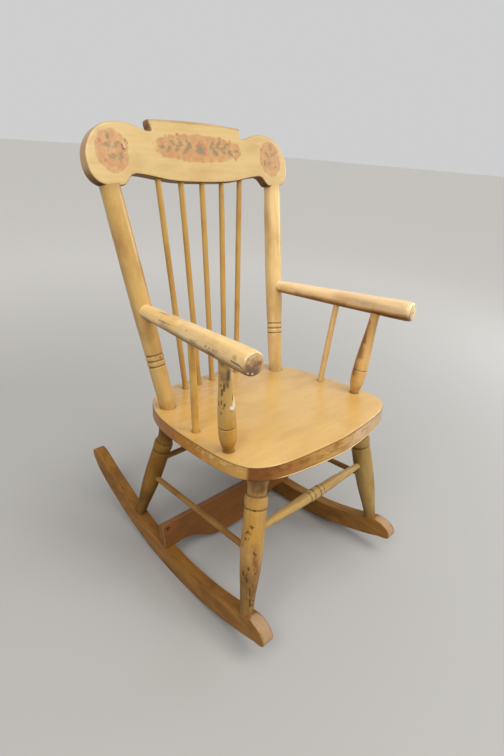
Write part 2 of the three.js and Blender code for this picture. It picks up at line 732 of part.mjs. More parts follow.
function frontLeg() {
  const side = sideLine();
  return leg(frontLegAxis(), FRONT_LEG_TURNING_SHARES, FRONT_LEG_RADIUS, [
    stretcherHole(frontLineEnd(), point(-1, 0, 0), frontStretcherEndRadius()),
    stretcherHole(side.front, side.backward, SIDE_STRETCHER_RADIUS),
  ]);
}

function rearLeg() {
  const side = sideLine();
  return leg(rearLegAxis(), REAR_LEG_TURNING_SHARES, REAR_LEG_RADIUS, [
    stretcherHole(rearLineEnd(), point(-1, 0, 0), REAR_STRETCHER_RADIUS),
    stretcherHole(side.rear, reversed(side.backward), SIDE_STRETCHER_RADIUS),
  ]);
}

// A blind hole in a leg, from just past the leg's middle out through the side of the stretcher.
function stretcherHole(middle, outward, radius) {
  const bottom = beyond(middle, outward, -STRETCHER_PAST_LEG_MIDDLE - SOCKET_END_ROOM);
  return rod(bottom, beyond(middle, outward, OVERRUN), radius + FIT);
}

// Stretchers

function frontLineEnd() {
  const { foot, head } = frontLegAxis();
  return atHeight(foot, head, FRONT_STRETCHER_HEIGHT);
}

function rearLineEnd() {
  const { foot, head } = rearLegAxis();
  return atHeight(foot, head, REAR_STRETCHER_HEIGHT);
}

function sideLine() {
  const frontAxis = frontLegAxis();
  const rearAxis = rearLegAxis();
  const front = atHeight(frontAxis.foot, frontAxis.head, SIDE_STRETCHER_FRONT_HEIGHT);
  const rear = atHeight(rearAxis.foot, rearAxis.head, SIDE_STRETCHER_REAR_HEIGHT);
  return { front, rear, backward: unit(front, rear) };
}

function frontStretcherEndRadius() {
  return FRONT_STRETCHER_RADIUS * readTable(FRONT_STRETCHER_TURNING_SHARES, 1);
}

// The turning shares run from the middle of the stretcher to its end.
function frontStretcher() {
  const end = frontLineEnd();
  const halfLength = end.x + STRETCHER_PAST_LEG_MIDDLE;
  const outer = scaled(FRONT_STRETCHER_TURNING_SHARES, halfLength, FRONT_STRETCHER_RADIUS);
  const other = outer.map(([along, radius]) => [-along, radius]).reverse();
  return turned(point(0, end.y, end.z), point(1, 0, 0), [...other, ...outer], ROUND_SIDES);
}

function rearStretcher() {
  const { x, y, z } = rearLineEnd();
  const halfLength = x + STRETCHER_PAST_LEG_MIDDLE;
  return rod(point(-halfLength, y, z), point(halfLength, y, z), REAR_STRETCHER_RADIUS);
}

function sideStretcher() {
  const { front, rear, backward } = sideLine();
  const from = beyond(front, backward, -STRETCHER_PAST_LEG_MIDDLE);
  return rod(from, beyond(rear, backward, STRETCHER_PAST_LEG_MIDDLE), SIDE_STRETCHER_RADIUS);
}

// Cross board

const BOARD_TOP_Z = rockerTopZ(BOARD_FRONT_Y) + BOARD_OVER_ROCKER;
const BOARD_HALF_LENGTH = rockerMiddleX(BOARD_FRONT_Y) + ROCKER_THICKNESS / 2 - BOARD_END_INSET;
const BOARD_DOWN = point(0, -Math.sin(BOARD_LEAN), -Math.cos(BOARD_LEAN));

// A place on the board's front face, a distance down from its top edge, or a distance behind it.
function boardPoint(x, down, behind) {
  return point(
    x,
    BOARD_FRONT_Y - down * Math.sin(BOARD_LEAN) + behind * Math.cos(BOARD_LEAN),
    BOARD_TOP_Z - down * Math.cos(BOARD_LEAN) - behind * Math.sin(BOARD_LEAN),
  );
}

function boardOutline() {
  const lower = scaled(BOARD_LOWER_EDGE_SHARES, BOARD_HALF_LENGTH, -BOARD_DEPTH);
  const endBottom = -BOARD_OVER_ROCKER / Math.cos(BOARD_LEAN) - BOARD_END_OVERLAP;
  return wholeOutline([
    ...corners([
      [0, 0], [BOARD_HALF_LENGTH, 0], [BOARD_HALF_LENGTH, endBottom], [lower[0][0], endBottom],
    ]),
    ...curve(lower),
  ]);
}

// The board's ends are sawn to sit on the tops of the rockers.
function crossBoard() {
  const flat = sawn(boardOutline(), BOARD_THICKNESS, BOARD_EDGE_ROUNDING, 1, 1);
  const body = toSolid(reshaped(flat, ({ x, y, z }) => boardPoint(x, -y, BOARD_THICKNESS - z)));
  return less(largest(less(body, bothSides([rockerToScribe()]))), [
    ...bothSides([screwHole(), screwPocket()]),
    ...NAIL_PLACES_SHARES.map(nailAxis).map(({ foot, up }) => (
      rod(beyond(foot, up, -SOCKET_END_ROOM), beyond(foot, up, NAIL_LENGTH), NAIL_RADIUS + FIT)
    )),
  ]);
}

// Screws and nails

// A screw goes straight down, its head let into the upper corner of the board's front face.
function screwAxis() {
  const { y, z } = boardPoint(0, SCREW_DROP / Math.cos(BOARD_LEAN), 0);
  const head = point(rockerMiddleX(y), y, z);
  return { foot: beyond(head, UP, -SCREW_LENGTH), head, up: UP };
}

function screw() {
  return turned(screwAxis().foot, UP, [
    [0, SCREW_POINT_RADIUS],
    [SCREW_POINT_LENGTH, SCREW_RADIUS],
    [SCREW_LENGTH - SCREW_HEAD_HEIGHT, SCREW_RADIUS],
    [SCREW_LENGTH, SCREW_HEAD_RADIUS],
  ], DOWEL_SIDES);
}

function screwHole() {
  const { foot, head } = screwAxis();
  return rod(beyond(foot, UP, -SOCKET_END_ROOM), head, SCREW_RADIUS + FIT);
}

function screwPocket() {
  const { head } = screwAxis();
  const bottom = beyond(head, UP, -SCREW_HEAD_HEIGHT - FIT);
  return rod(bottom, beyond(head, UP, SCREW_DROP + OVERRUN), SCREW_HEAD_RADIUS + FIT);
}

// A nail is driven down into the middle of the board's top edge and stands a little proud of it.
function nailAxis(placeShare) {
  const middle = boardPoint(BOARD_HALF_LENGTH * placeShare, 0, BOARD_THICKNESS / 2);
  const up = reversed(BOARD_DOWN);
  return { foot: beyond(middle, up, NAIL_STAND - NAIL_LENGTH), up };
}

function nail(placeShare) {
  const { foot, up } = nailAxis(placeShare);
  return turned(foot, up, [
    [0, NAIL_RADIUS],
    [NAIL_LENGTH - NAIL_HEAD_HEIGHT, NAIL_RADIUS],
    [NAIL_LENGTH - NAIL_HEAD_HEIGHT, NAIL_HEAD_RADIUS],
    [NAIL_LENGTH, NAIL_HEAD_RADIUS],
  ], DOWEL_SIDES);
}

// Assembly

function paintedWood() {
  return new THREE.MeshStandardMaterial({ color: PAINTED_WOOD, roughness: WOOD_ROUGHNESS, metalness: 0 });
}

function stainedWood() {
  return new THREE.MeshStandardMaterial({ color: STAINED_WOOD, roughness: WOOD_ROUGHNESS, metalness: 0 });
}

function steel() {
  return new THREE.MeshStandardMaterial({ color: STEEL, roughness: STEEL_ROUGHNESS, metalness: 1 });
}

function named(name, solid, material) {
  const mesh = new THREE.Mesh(toGeometry(solid), material);
  mesh.name = name;
  return mesh;
}

function pair(name, solid, material) {
  return [named(`${name}_left`, solid, material()), named(`${name}_right`, mirror(solid), material())];
}

const chair = new THREE.Group();

chair.add(
  named('seat', seat(), paintedWood()),
  named('crest_rail', crestRail(), paintedWood()),
  ...pair('back_post', backPost(), paintedWood),
  ...SPINDLE_STEPS.map((step, i) => named(`back_spindle_${i + 1}`, backSpindle(step), paintedWood())),
  ...pair('arm', arm(), paintedWood),
  ...pair('arm_post', armPost(), paintedWood),
  ...pair('arm_spindle', armSpindle(), paintedWood),
  ...pair('leg_front', frontLeg(), paintedWood),
  ...pair('leg_rear', rearLeg(), paintedWood),
  named('stretcher_front', frontStretcher(), paintedWood()),
  named('stretcher_rear', rearStretcher(), paintedWood()),
  ...pair('stretcher_side', sideStretcher(), paintedWood),
  ...pair('rocker', rocker(), stainedWood),
  named('cross_board', crossBoard(), stainedWood()),
  ...pair('board_screw', screw(), steel),
  ...NAIL_PLACES_SHARES.map((placeShare, i) => named(`board_nail_${i + 1}`, nail(placeShare), steel())),
);

chair.position.y = -(ROCKER_FRONT_Y + ROCKER_BACK_Y) / 2;

export default chair;
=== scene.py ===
import math

import bpy
import numpy as np
from bpy.props import FloatProperty, FloatVectorProperty, IntProperty, PointerProperty
from mathutils import Matrix, Vector, noise
from mathutils.geometry import delaunay_2d_cdt


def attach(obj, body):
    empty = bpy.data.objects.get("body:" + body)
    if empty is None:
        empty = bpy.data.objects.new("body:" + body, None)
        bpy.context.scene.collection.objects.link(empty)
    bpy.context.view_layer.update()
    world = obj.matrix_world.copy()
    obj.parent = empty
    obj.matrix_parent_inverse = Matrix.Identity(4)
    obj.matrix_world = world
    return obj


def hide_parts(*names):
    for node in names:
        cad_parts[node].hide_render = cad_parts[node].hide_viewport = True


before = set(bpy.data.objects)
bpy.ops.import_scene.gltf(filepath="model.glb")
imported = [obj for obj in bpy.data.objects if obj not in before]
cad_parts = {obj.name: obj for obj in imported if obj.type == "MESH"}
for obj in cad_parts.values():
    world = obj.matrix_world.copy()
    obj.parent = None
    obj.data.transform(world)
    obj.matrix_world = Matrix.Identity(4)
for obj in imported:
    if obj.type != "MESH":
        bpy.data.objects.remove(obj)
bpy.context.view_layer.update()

bl_info = {
    "name": "Small Rocking Chair",
    "version": (1, 0, 0),
    "blender": (4, 5, 0),
    "location": "3D View > Sidebar > Rocking Chair",
    "description": "Builds a small turned and sawn rocking chair in worn lacquered wood, piece by piece",
    "category": "Add Mesh",
}

# Everything is in metres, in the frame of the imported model: +Z up, the sitter looks along -Y.
# The chair's shape is measured from a point on the floor under the seat, and SHIFT carries it into
# that frame. Outlines are shares of their piece's half width and of its height or depth. Turnings are
# shares of their length, from the foot or the back end on, and of their radius.
SHIFT = Vector((0, -0.0539, 0))

SEAT_TILT = math.radians(3.43)
SEAT_FRONT_Y = -0.1735
SEAT_DEPTH = 0.3259
SEAT_HALF_WIDTH = 0.175
SEAT_FRONT_FLARE = 0.009
SEAT_HALF_OUTLINE = [
    (0, 0), (0.2571, 0.0092), (0.4571, 0.0199), (0.6057, 0.0307), (0.72, 0.0445), (0.8057, 0.0614),
    (0.8743, 0.0844), (0.9286, 0.1151), (0.9657, 0.155), (0.9863, 0.201), (0.996, 0.2624), (1, 0.3421),
    (0.9971, 0.4219), (0.9897, 0.5017), (0.9794, 0.5753), (0.9634, 0.649), (0.9371, 0.7226),
    (0.9006, 0.7901), (0.8491, 0.8515), (0.7857, 0.9037), (0.7086, 0.9481), (0.6171, 0.9804),
    (0.5143, 0.9969), (0.3657, 1.0018), (0.1714, 1.0006), (0, 1),
]

CREST_OVER_SEAT = 0.3312
CREST_BEHIND_SEAT = 0.0093
CREST_RAKE = math.radians(15.8)
CREST_HALF_WIDTH = 0.2056
CREST_HEIGHT = 0.0932
CREST_ROLL_HEIGHT = 0.006
CREST_ROLL_FOOT = 0.945
CREST_ROLL_TURN = 0.62
CREST_RAISED = [
    (0, 1), (0.1452, 0.9979), (0.3001, 0.9914), (0.4066, 0.9861), (0.4472, 0.9807), (0.453, 0.9614),
]
CREST_STEP = [(0.4453, 0.9013), (0.4385, 0.8455)]
CREST_LOBE = [
    (0.4472, 0.8326), (0.4792, 0.8348), (0.5227, 0.8562), (0.5712, 0.8906), (0.6292, 0.9227),
    (0.697, 0.9367), (0.7648, 0.927), (0.8277, 0.8948), (0.8833, 0.8369), (0.9293, 0.7511),
    (0.9681, 0.633), (0.9932, 0.4936), (1, 0.3541), (0.9913, 0.2253), (0.9681, 0.1245),
    (0.9322, 0.0506), (0.8858, 0.0102), (0.8325, 0.001),
]
CREST_EAR = [
    (0.789, 0), (0.7551, 0.002), (0.728, 0.0175), (0.7076, 0.0559), (0.6893, 0.1063),
    (0.6651, 0.1545), (0.6292, 0.1781),
]
CREST_UNDERSIDE = [
    (0.576, 0.1695), (0.5034, 0.147), (0.4356, 0.1212), (0.3485, 0.0912), (0.2565, 0.0719),
    (0.1452, 0.0622), (0, 0.059),
]

POST_INSET = 0.0436
POST_FROM_SEAT_BACK = 0.0661
POST_HEAD_INSET = 0.035
POST_HEAD_SETBACK = 0.0015
POST_TURNING = [
    (0, 0.78), (0.0345, 0.811), (0.1034, 0.855), (0.2057, 0.893), (0.2115, 0.824), (0.2172, 0.899),
    (0.2276, 0.918), (0.2328, 0.899), (0.2385, 0.824), (0.2443, 0.899), (0.254, 0.918),
    (0.2598, 0.899), (0.2655, 0.824), (0.2713, 0.899), (0.3448, 0.943), (0.46, 0.981), (0.618, 1),
    (0.776, 0.987), (1, 0.956),
]

SPINDLE_FOOT_SPACING = 0.0312
SPINDLE_HEAD_SPACING = 0.0433
SPINDLE_FROM_SEAT_BACK = 0.0248
SPINDLE_STEPS = [2, 1, 0, -1, -2]

ARM_OVER_SEAT = 0.1538
ARM_REACH = 0.2797
ARM_SPREAD = 0.0338
ARM_RISE = 0.014
ARM_TURNING = [
    (0, 0.67), (0.0542, 0.675), (0.132, 0.712), (0.217, 0.749), (0.33, 0.791), (0.493, 0.859),
    (0.663, 0.908), (0.805, 0.957), (0.915, 1), (0.9645, 1), (0.9844, 0.969), (0.995, 0.883),
    (1, 0.736),
]

ARM_POST_INSET = 0.0214
ARM_POST_FROM_SEAT_FRONT = 0.0872
ARM_POST_PLACE = 0.7755
ARM_POST_TURNING = [
    (0, 0.574), (0.025, 0.605), (0.0625, 0.744), (0.1125, 0.907), (0.1688, 0.984), (0.2375, 1),
    (0.2662, 1), (0.275, 0.938), (0.2838, 0.992), (0.3625, 0.977), (0.45, 0.923), (0.5625, 0.822),
    (0.675, 0.713), (0.7875, 0.636), (0.8875, 0.605), (1, 0.605),
]

ARM_SPINDLE_INSET = 0.0234
ARM_SPINDLE_FROM_SEAT_FRONT = 0.1622
ARM_SPINDLE_PLACE = 0.5045

ROCKER_FRONT_Y = -0.2086
ROCKER_BACK_Y = 0.3164
ROCKER_TOUCH_Y = 0.0165
ROCKER_FLOOR_RADIUS = 0.584
ROCKER_TOP_RADIUS = 0.531
ROCKER_TOP_LOW_Y = 0.0132
ROCKER_HEIGHT = 0.0354
ROCKER_HALF_SPACING = 0.1586
ROCKER_TOE_IN = math.radians(3.1)
ROCKER_NOSE_LENGTH = 0.0506
ROCKER_NOSE_RISE = 0.0313
ROCKER_NOSE_FLOOR = 0.407
# Round the nose from the underside to the top, in shares of its length and of its rise.
ROCKER_NOSE = [
    (0.209, 0.067), (0.103, 0.118), (0.032, 0.201), (0, 0.339), (0.024, 0.498), (0.099, 0.674),
    (0.219, 0.828), (0.387, 0.955), (0.56, 1), (0.72, 0.985), (0.86, 0.93),
]
ROCKER_TAIL_LENGTH = 0.1164
ROCKER_TAIL_RISE = 0.0362
ROCKER_TAIL_FLOOR = 0.825
# Along the top of the tail and round its end to the underside, in the same shares.
ROCKER_TAIL = [
    (0.129, 0.099), (0.266, 0.243), (0.404, 0.403), (0.498, 0.536), (0.601, 0.68), (0.704, 0.823),
    (0.79, 0.928), (0.868, 0.989), (0.936, 0.989), (0.985, 0.917), (1, 0.785), (0.988, 0.63),
    (0.949, 0.42), (0.893, 0.232),
]

FRONT_LEG_FOOT_Y = -0.1588
FRONT_LEG_INSET = 0.0536
FRONT_LEG_FROM_SEAT_FRONT = 0.0559
FRONT_LEG_TURNING = [
    (0, 0.594), (0.0631, 0.623), (0.1351, 0.691), (0.2162, 0.794), (0.2973, 0.891), (0.3964, 0.949),
    (0.5315, 0.977), (0.6577, 0.966), (0.7144, 0.949), (0.7225, 0.886), (0.7306, 0.943),
    (0.7477, 0.989), (0.7703, 1), (0.7901, 0.983), (0.8, 0.937), (0.8063, 0.857), (0.8288, 0.811),
    (0.8559, 0.823), (0.8919, 0.903), (0.9279, 1.017), (0.973, 1.131), (1, 1.166),
]
REAR_LEG_FOOT_Y = 0.1453
REAR_LEG_INSET = 0.0542
REAR_LEG_FROM_SEAT_BACK = 0.0646
REAR_LEG_TURNING = [
    (0, 0.593), (0.0619, 0.617), (0.1327, 0.685), (0.2124, 0.784), (0.292, 0.877), (0.3894, 0.938),
    (0.5221, 0.969), (0.646, 0.957), (0.6752, 0.944), (0.6823, 0.877), (0.6903, 0.938),
    (0.708, 0.988), (0.7301, 1), (0.7496, 0.982), (0.7593, 0.932), (0.7655, 0.852), (0.7876, 0.815),
    (0.8142, 0.827), (0.8496, 0.914), (0.885, 1.037), (0.9469, 1.148), (1, 1.185),
]

FRONT_STRETCHER_HEIGHT = 0.185
REAR_STRETCHER_HEIGHT = 0.177
SIDE_STRETCHER_FRONT_HEIGHT = 0.155
SIDE_STRETCHER_REAR_HEIGHT = 0.142
STRETCHER_PAST_LEG_MIDDLE = 0.0045
# From the middle of the stretcher out to its end.
FRONT_STRETCHER_TURNING = [
    (0.0152, 1), (0.0317, 1), (0.0414, 0.869), (0.0552, 0.869), (0.0648, 0.99), (0.0993, 0.99),
    (0.1103, 0.869), (0.1655, 0.899), (0.3034, 0.869), (0.4828, 0.778), (0.6483, 0.667),
    (0.7724, 0.596), (0.84, 0.566), (1, 0.566),
]

BOARD_FRONT_Y = 0.056
BOARD_LEAN = math.radians(13)
BOARD_DEPTH = 0.0736
BOARD_OVER_ROCKER = 0.0426
BOARD_END_INSET = 0.001
BOARD_END_OVERLAP = 0.0015
BOARD_LOWER_EDGE = [
    (0.8098, 0.6), (0.7362, 0.6046), (0.6626, 0.6359), (0.589, 0.6929), (0.5153, 0.7717),
    (0.4417, 0.8505), (0.3681, 0.9185), (0.2883, 0.9647), (0.1963, 0.9891), (0.0859, 0.9986), (0, 1),
]

# The plain spindles and stretchers, which have one radius all along.
PLAIN_ROD = [(0, 1), (0.5, 1), (1, 1)]


# Curves and tables

def scaled(shares, first, second):
    """A table of shares, in metres."""
    return [(a * first, b * second) for a, b in shares]


def read_table(table, at):
    """The value of a table at any place between its rows."""
    xs, ys = zip(*sorted(table))
    return float(np.interp(at, xs, ys))


def eased(xs, ys, at):
    """A smooth curve through a table that never bulges past its stations."""
    xs, ys, at = np.array(xs, float), np.array(ys, float), np.array(at, float)
    gap = np.diff(xs)
    slope = np.diff(ys) / gap
    tangent = np.empty_like(ys)
    tangent[0], tangent[-1] = slope[0], slope[-1]
    both = slope[:-1] * slope[1:]
    total = np.where(np.abs(slope[:-1] + slope[1:]) < 1e-12, 1, slope[:-1] + slope[1:])
    tangent[1:-1] = np.where(both > 0, 2 * both / total, 0)
    i = np.clip(np.searchsorted(xs, at, side="right") - 1, 0, len(gap) - 1)
    t = (at - xs[i]) / gap[i]
    h = gap[i]
    return (
        (1 + 2 * t) * (1 - t) ** 2 * ys[i] + t * (1 - t) ** 2 * h * tangent[i]
        + t * t * (3 - 2 * t) * ys[i + 1] + t * t * (t - 1) * h * tangent[i + 1]
    )


def spline(points, per_span):
    """A curve through points, with per_span steps between each two of them."""
    p = np.array(points, float)
    p = np.vstack([2 * p[0] - p[1], p, 2 * p[-1] - p[-2]])
    out = []
    for i in range(1, len(p) - 2):
        for k in range(per_span):
            t = k / per_span
            out.append(0.5 * (
                2 * p[i] + (p[i + 1] - p[i - 1]) * t
                + (2 * p[i - 1] - 5 * p[i] + 4 * p[i + 1] - p[i + 2]) * t * t
                + (3 * p[i] - p[i - 1] - 3 * p[i + 1] + p[i + 2]) * t ** 3
            ))
    out.append(p[-2])
    return [tuple(q) for q in out]


def evenly(points, spacing):
    """Adds points on the straight stretches of an open line, no two further apart than spacing."""
    out = []
    for a, b in zip(points, points[1:]):
        count = max(1, math.ceil(math.dist(a, b) / spacing))
        out += [(a[0] + (b[0] - a[0]) * k / count, a[1] + (b[1] - a[1]) * k / count) for k in range(count)]
    return out + [points[-1]]


def both_halves(half):
    """Closes a half outline, from the middle round to the middle, with its mirror image."""
    return half + [(-x, y) for x, y in half[-2:0:-1]]


def counted_round(outline):
    """The outline in the direction that runs round it with its inside on the left."""
    area = sum(a[0] * b[1] - b[0] * a[1] for a, b in zip(outline, outline[1:] + outline[:1]))
    return outline if area > 0 else outline[::-1]


def arc_z(radius, low_y, y):
    """The height of a round arc over its lowest point."""
    return radius - math.sqrt(radius ** 2 - (y - low_y) ** 2)


# Places on the pieces

def seat_point(x, y, under=0.0):
    """A point of the tilted seat, by its place on the top and how far it lies under it."""
    height = sizes().seat_height
    return Vector((x, y, height - y * math.tan(SEAT_TILT) - under / math.cos(SEAT_TILT)))


def seat_back_y():
    """Where the seat ends behind."""
    return SEAT_FRONT_Y + SEAT_DEPTH


def crest_point(x, up, behind=0.0):
    """A point of the raked crest rail, by how far it lies up the board and behind its front face."""
    return Vector((
        x,
        seat_back_y() + CREST_BEHIND_SEAT + up * math.sin(CREST_RAKE) + behind * math.cos(CREST_RAKE),
        sizes().seat_height + CREST_OVER_SEAT + up * math.cos(CREST_RAKE) - behind * math.sin(CREST_RAKE),
    ))


def rocker_floor_z(y):
    """The height of a rocker's underside."""
    return arc_z(ROCKER_FLOOR_RADIUS, ROCKER_TOUCH_Y, y)


def rocker_top_z(y):
    """The height of a rocker's top edge."""
    return ROCKER_HEIGHT + arc_z(ROCKER_TOP_RADIUS, ROCKER_TOP_LOW_Y, y)


def rocker_middle_x(y):
    """The middle of a rocker's thickness: the rockers toe in toward the back."""
    return ROCKER_HALF_SPACING - y * math.tan(ROCKER_TOE_IN)


def board_point(x, down, behind):
    """A point of the leaning cross board, by how far it lies under its top and behind its front face."""
    top_z = rocker_top_z(BOARD_FRONT_Y) + BOARD_OVER_ROCKER
    return Vector((
        x,
        BOARD_FRONT_Y - down * math.sin(BOARD_LEAN) + behind * math.cos(BOARD_LEAN),
        top_z - down * math.cos(BOARD_LEAN) - behind * math.sin(BOARD_LEAN),
    ))


def at_height(line, z):
    """The point of a line that lies at a height."""
    foot, head = line
    return foot.lerp(head, (z - foot.z) / (head.z - foot.z))


def mirrored(line, sign):
    """A line on the sitter's left (1), or its mirror image on the right (-1)."""
    return tuple(Vector((p.x * sign, p.y, p.z)) for p in line)


def post_line():
    """The left back post, from the seat up into the crest rail."""
    foot = seat_point(SEAT_HALF_WIDTH - POST_INSET, seat_back_y() - POST_FROM_SEAT_BACK)
    head = crest_point(CREST_HALF_WIDTH - POST_HEAD_INSET, 0, sizes().crest_thickness / 2 + POST_HEAD_SETBACK)
    return foot, head


def spindle_line(step):
    """A back spindle, so many steps to the left of the middle one."""
    foot = seat_point(step * SPINDLE_FOOT_SPACING, seat_back_y() - SPINDLE_FROM_SEAT_BACK)
    x = step * SPINDLE_HEAD_SPACING
    up = read_table(scaled(CREST_UNDERSIDE, CREST_HALF_WIDTH, CREST_HEIGHT), abs(x))
    return foot, crest_point(x, up, sizes().crest_thickness / 2)


def arm_line():
    """The left arm, from the middle of its back post forward."""
    foot = at_height(post_line(), sizes().seat_height + ARM_OVER_SEAT)
    return foot, foot + Vector((ARM_SPREAD, -ARM_REACH, ARM_RISE))


def under_arm_line(inset, from_front, place):
    """A post or spindle from the seat up to a place along the arm."""
    arm_foot, arm_head = arm_line()
    return seat_point(SEAT_HALF_WIDTH - inset, SEAT_FRONT_Y + from_front), arm_foot.lerp(arm_head, place)


def arm_post_line():
    """The left post under the arm."""
    return under_arm_line(ARM_POST_INSET, ARM_POST_FROM_SEAT_FRONT, ARM_POST_PLACE)


def arm_spindle_line():
    """The left spindle under the arm."""
    return under_arm_line(ARM_SPINDLE_INSET, ARM_SPINDLE_FROM_SEAT_FRONT, ARM_SPINDLE_PLACE)


def leg_line(foot_y, inset, head_y):
    """A leg from the top of its rocker to the underside of the seat."""
    foot = Vector((rocker_middle_x(foot_y), foot_y, rocker_top_z(foot_y)))
    return foot, seat_point(SEAT_HALF_WIDTH - inset, head_y, sizes().seat_thickness)


def front_leg_line():
    """The left front leg."""
    return leg_line(FRONT_LEG_FOOT_Y, FRONT_LEG_INSET, SEAT_FRONT_Y + FRONT_LEG_FROM_SEAT_FRONT)


def rear_leg_line():
    """The left rear leg."""
    return leg_line(REAR_LEG_FOOT_Y, REAR_LEG_INSET, seat_back_y() - REAR_LEG_FROM_SEAT_BACK)


# Meshes

# Stations of a turning closer together than RING_SPAN belong to its rings and grooves. The flat ends of a
# turned piece are ringed at CAP_SHARES of their radius, and RIDGE_REACH and RIDGE_HEIGHT say how far off
# and how much lower the wood beside a full ridge lies.
RING_SPAN = 0.006
RING_STEPS = 3
STATION_STEP = 0.0016
CAP_SHARES = (0.14, 0.28, 0.42, 0.56, 0.7, 0.84, 0.94)
RIDGE_REACH = 0.003
RIDGE_HEIGHT = 0.0008
# How much of a foot's taper goes on into the piece that it stands in.
TAPER_RUN_ON = 0.4
# The most that the hand tool strays, and how fast that changes round a turning and along it.
HAND_WAVER = 0.00025
WAVER_ROUND, WAVER_ALONG = 0.7, 26
TURNED_SHARP_DEGREES = 42

# A sawn piece has ARRIS_STEPS steps round each worn arris. The points that fill its faces lie in rows,
# FILL_ROW_STEP of their spacing apart, and no nearer to the border than FILL_BORDER_GAP of it.
ARRIS_STEPS = 3
FILL_ROW_STEP = 0.866
FILL_BORDER_GAP = 0.55
SHARPEST_MITRE = 0.6
SAWN_SHARP_DEGREES = 50


def add_to_scene(name, data):
    """A new object of the scene, which holds a mesh, a light or a camera."""
    thing = bpy.data.objects.new(name, data)
    bpy.context.scene.collection.objects.link(thing)
    return thing


class Blank:
    """The corners and faces of a piece before it becomes a mesh, with its grain along the third axis."""

    def __init__(self):
        self.corners = []
        self.grain = []
        self.edge = []
        self.wall = []
        self.depth = []
        self.faces = []

    def add_ring(self, places, grain, edge=0.0, wall=0.0, depth=0.0):
        """Adds corners with their grain and marks, and gives their numbers."""
        first = len(self.corners)
        self.corners += places
        self.grain += grain
        self.edge += [edge] * len(places)
        self.wall += [wall] * len(places)
        self.depth += [depth] * len(places)
        return list(range(first, first + len(places)))

    def join(self, lower, upper):
        """Faces between two rings of the same count."""
        count = len(lower)
        for i in range(count):
            j = (i + 1) % count
            self.faces.append((lower[i], lower[j], upper[j], upper[i]))

    def close(self, ring, centre, grain, outward):
        """Closes a ring with a fan of faces round its centre."""
        tip = self.add_ring([centre], [grain])[0]
        for i in range(len(ring)):
            pair = (ring[i], ring[(i + 1) % len(ring)])
            self.faces.append((*pair, tip) if outward else (*pair[::-1], tip))


def set_mark(mesh, mark, values):
    """Stores a number at each corner of a mesh, for its finish to read."""
    layer = mesh.attributes.get(mark) or mesh.attributes.new(mark, "FLOAT", "POINT")
    layer.data.foreach_set("value", np.array(values, np.float32))


def make_piece(name, blank, sharp_degrees, seed):
    """Turns a blank into an object with its grain coordinates, shaded smooth but for sharp edges."""
    mesh = bpy.data.meshes.new(name)
    mesh.from_pydata([tuple(Vector(c) + SHIFT) for c in blank.corners], [], blank.faces)
    mesh.validate()
    mesh.update()
    mesh.shade_smooth()
    mesh.set_sharp_from_angle(angle=math.radians(sharp_degrees))
    grain = mesh.attributes.new("grain", "FLOAT_VECTOR", "POINT")
    # Every piece is cut from another place in the wood.
    offset = np.array([0.37 * seed, 0.61 * seed % 3, 0.83 * seed % 5])
    grain.data.foreach_set("vector", (np.array(blank.grain, float) + offset).astype(np.float32).ravel())
    for mark, values in (("edge", blank.edge), ("wall", blank.wall), ("depth", blank.depth)):
        set_mark(mesh, mark, values)
    set_mark(mesh, "under", [max(0.0, -corner.normal.z) for corner in mesh.vertices])
    set_mark(mesh, "over", [max(0.0, corner.normal.z) for corner in mesh.vertices])
    return add_to_scene(name, mesh)


def turning_stations(stations):
    """Stations of a turning, close enough together to draw its rings and grooves round."""
    xs, ys = zip(*stations)
    at = []
    for a, b in zip(xs, xs[1:]):
        count = max(RING_STEPS if b - a < RING_SPAN else 1, math.ceil((b - a) / STATION_STEP))
        at += [a + (b - a) * k / count for k in range(count)]
    at.append(xs[-1])
    return list(zip(at, eased(xs, ys, at)))


def ridge_share(along, radius, xs, radii):
    """How much a turning stands out there: up to 1 on a ring, down to -1 in a groove, 0 on its ends."""
    if not xs[0] < along < xs[-1]:
        return 0.0
    beside = [float(np.interp(along + gap, xs, radii)) for gap in (-RIDGE_REACH, RIDGE_REACH)]
    return max(-1.0, min(1.0, (radius - sum(beside) / 2) / RIDGE_HEIGHT))


def turned(name, start, direction, stations, sides, seed):
    """A piece turned round a line, never quite round, because the hand tool strays."""
    along_axis = direction.normalized()
    across = along_axis.orthogonal().normalized()
    other = along_axis.cross(across)
    blank = Blank()
    rows = turning_stations(stations)
    xs, radii = zip(*rows)
    rings = [(xs[0], radii[0] * share) for share in CAP_SHARES] + rows
    rings += [(xs[-1], radii[-1] * share) for share in reversed(CAP_SHARES)]
    previous = None
    for along, radius in rings:
        places, grain = [], []
        for i in range(sides):
            angle = math.tau * i / sides
            c, s = math.cos(angle), math.sin(angle)
            at = (c * WAVER_ROUND + seed * 7.1, s * WAVER_ROUND, along * WAVER_ALONG + seed)
            stray = noise.noise(Vector(at))
            r = radius + HAND_WAVER * stray
            places.append(start + along_axis * along + across * (c * r) + other * (s * r))
            grain.append((c * r, s * r, along))
        ring = blank.add_ring(places, grain, ridge_share(along, radius, xs, radii))
        if previous is not None:
            blank.join(previous, ring)
        else:
            blank.close(ring, start + along_axis * along, (0, 0, along), False)
        previous = ring
    blank.close(previous, start + along_axis * rings[-1][0], (0, 0, rings[-1][0]), True)
    return make_piece(name, blank, TURNED_SHARP_DEGREES, seed)


def turned_between(name, line, turning, radius, sides, seed, foot_run=0.003, head_run=0.003):
    """Turns a piece between its foot and its head and lets it run a little way into both neighbours."""
    foot, head = line
    length = (head - foot).length
    stations = scaled(turning, length, radius)
    slope = (stations[1][1] - stations[0][1]) / (stations[1][0] - stations[0][0])
    stations = [(-foot_run, stations[0][1] - slope * foot_run * TAPER_RUN_ON)] + stations
    stations.append((length + head_run, stations[-1][1]))
    return turned(name, foot, head - foot, stations, sides, seed)


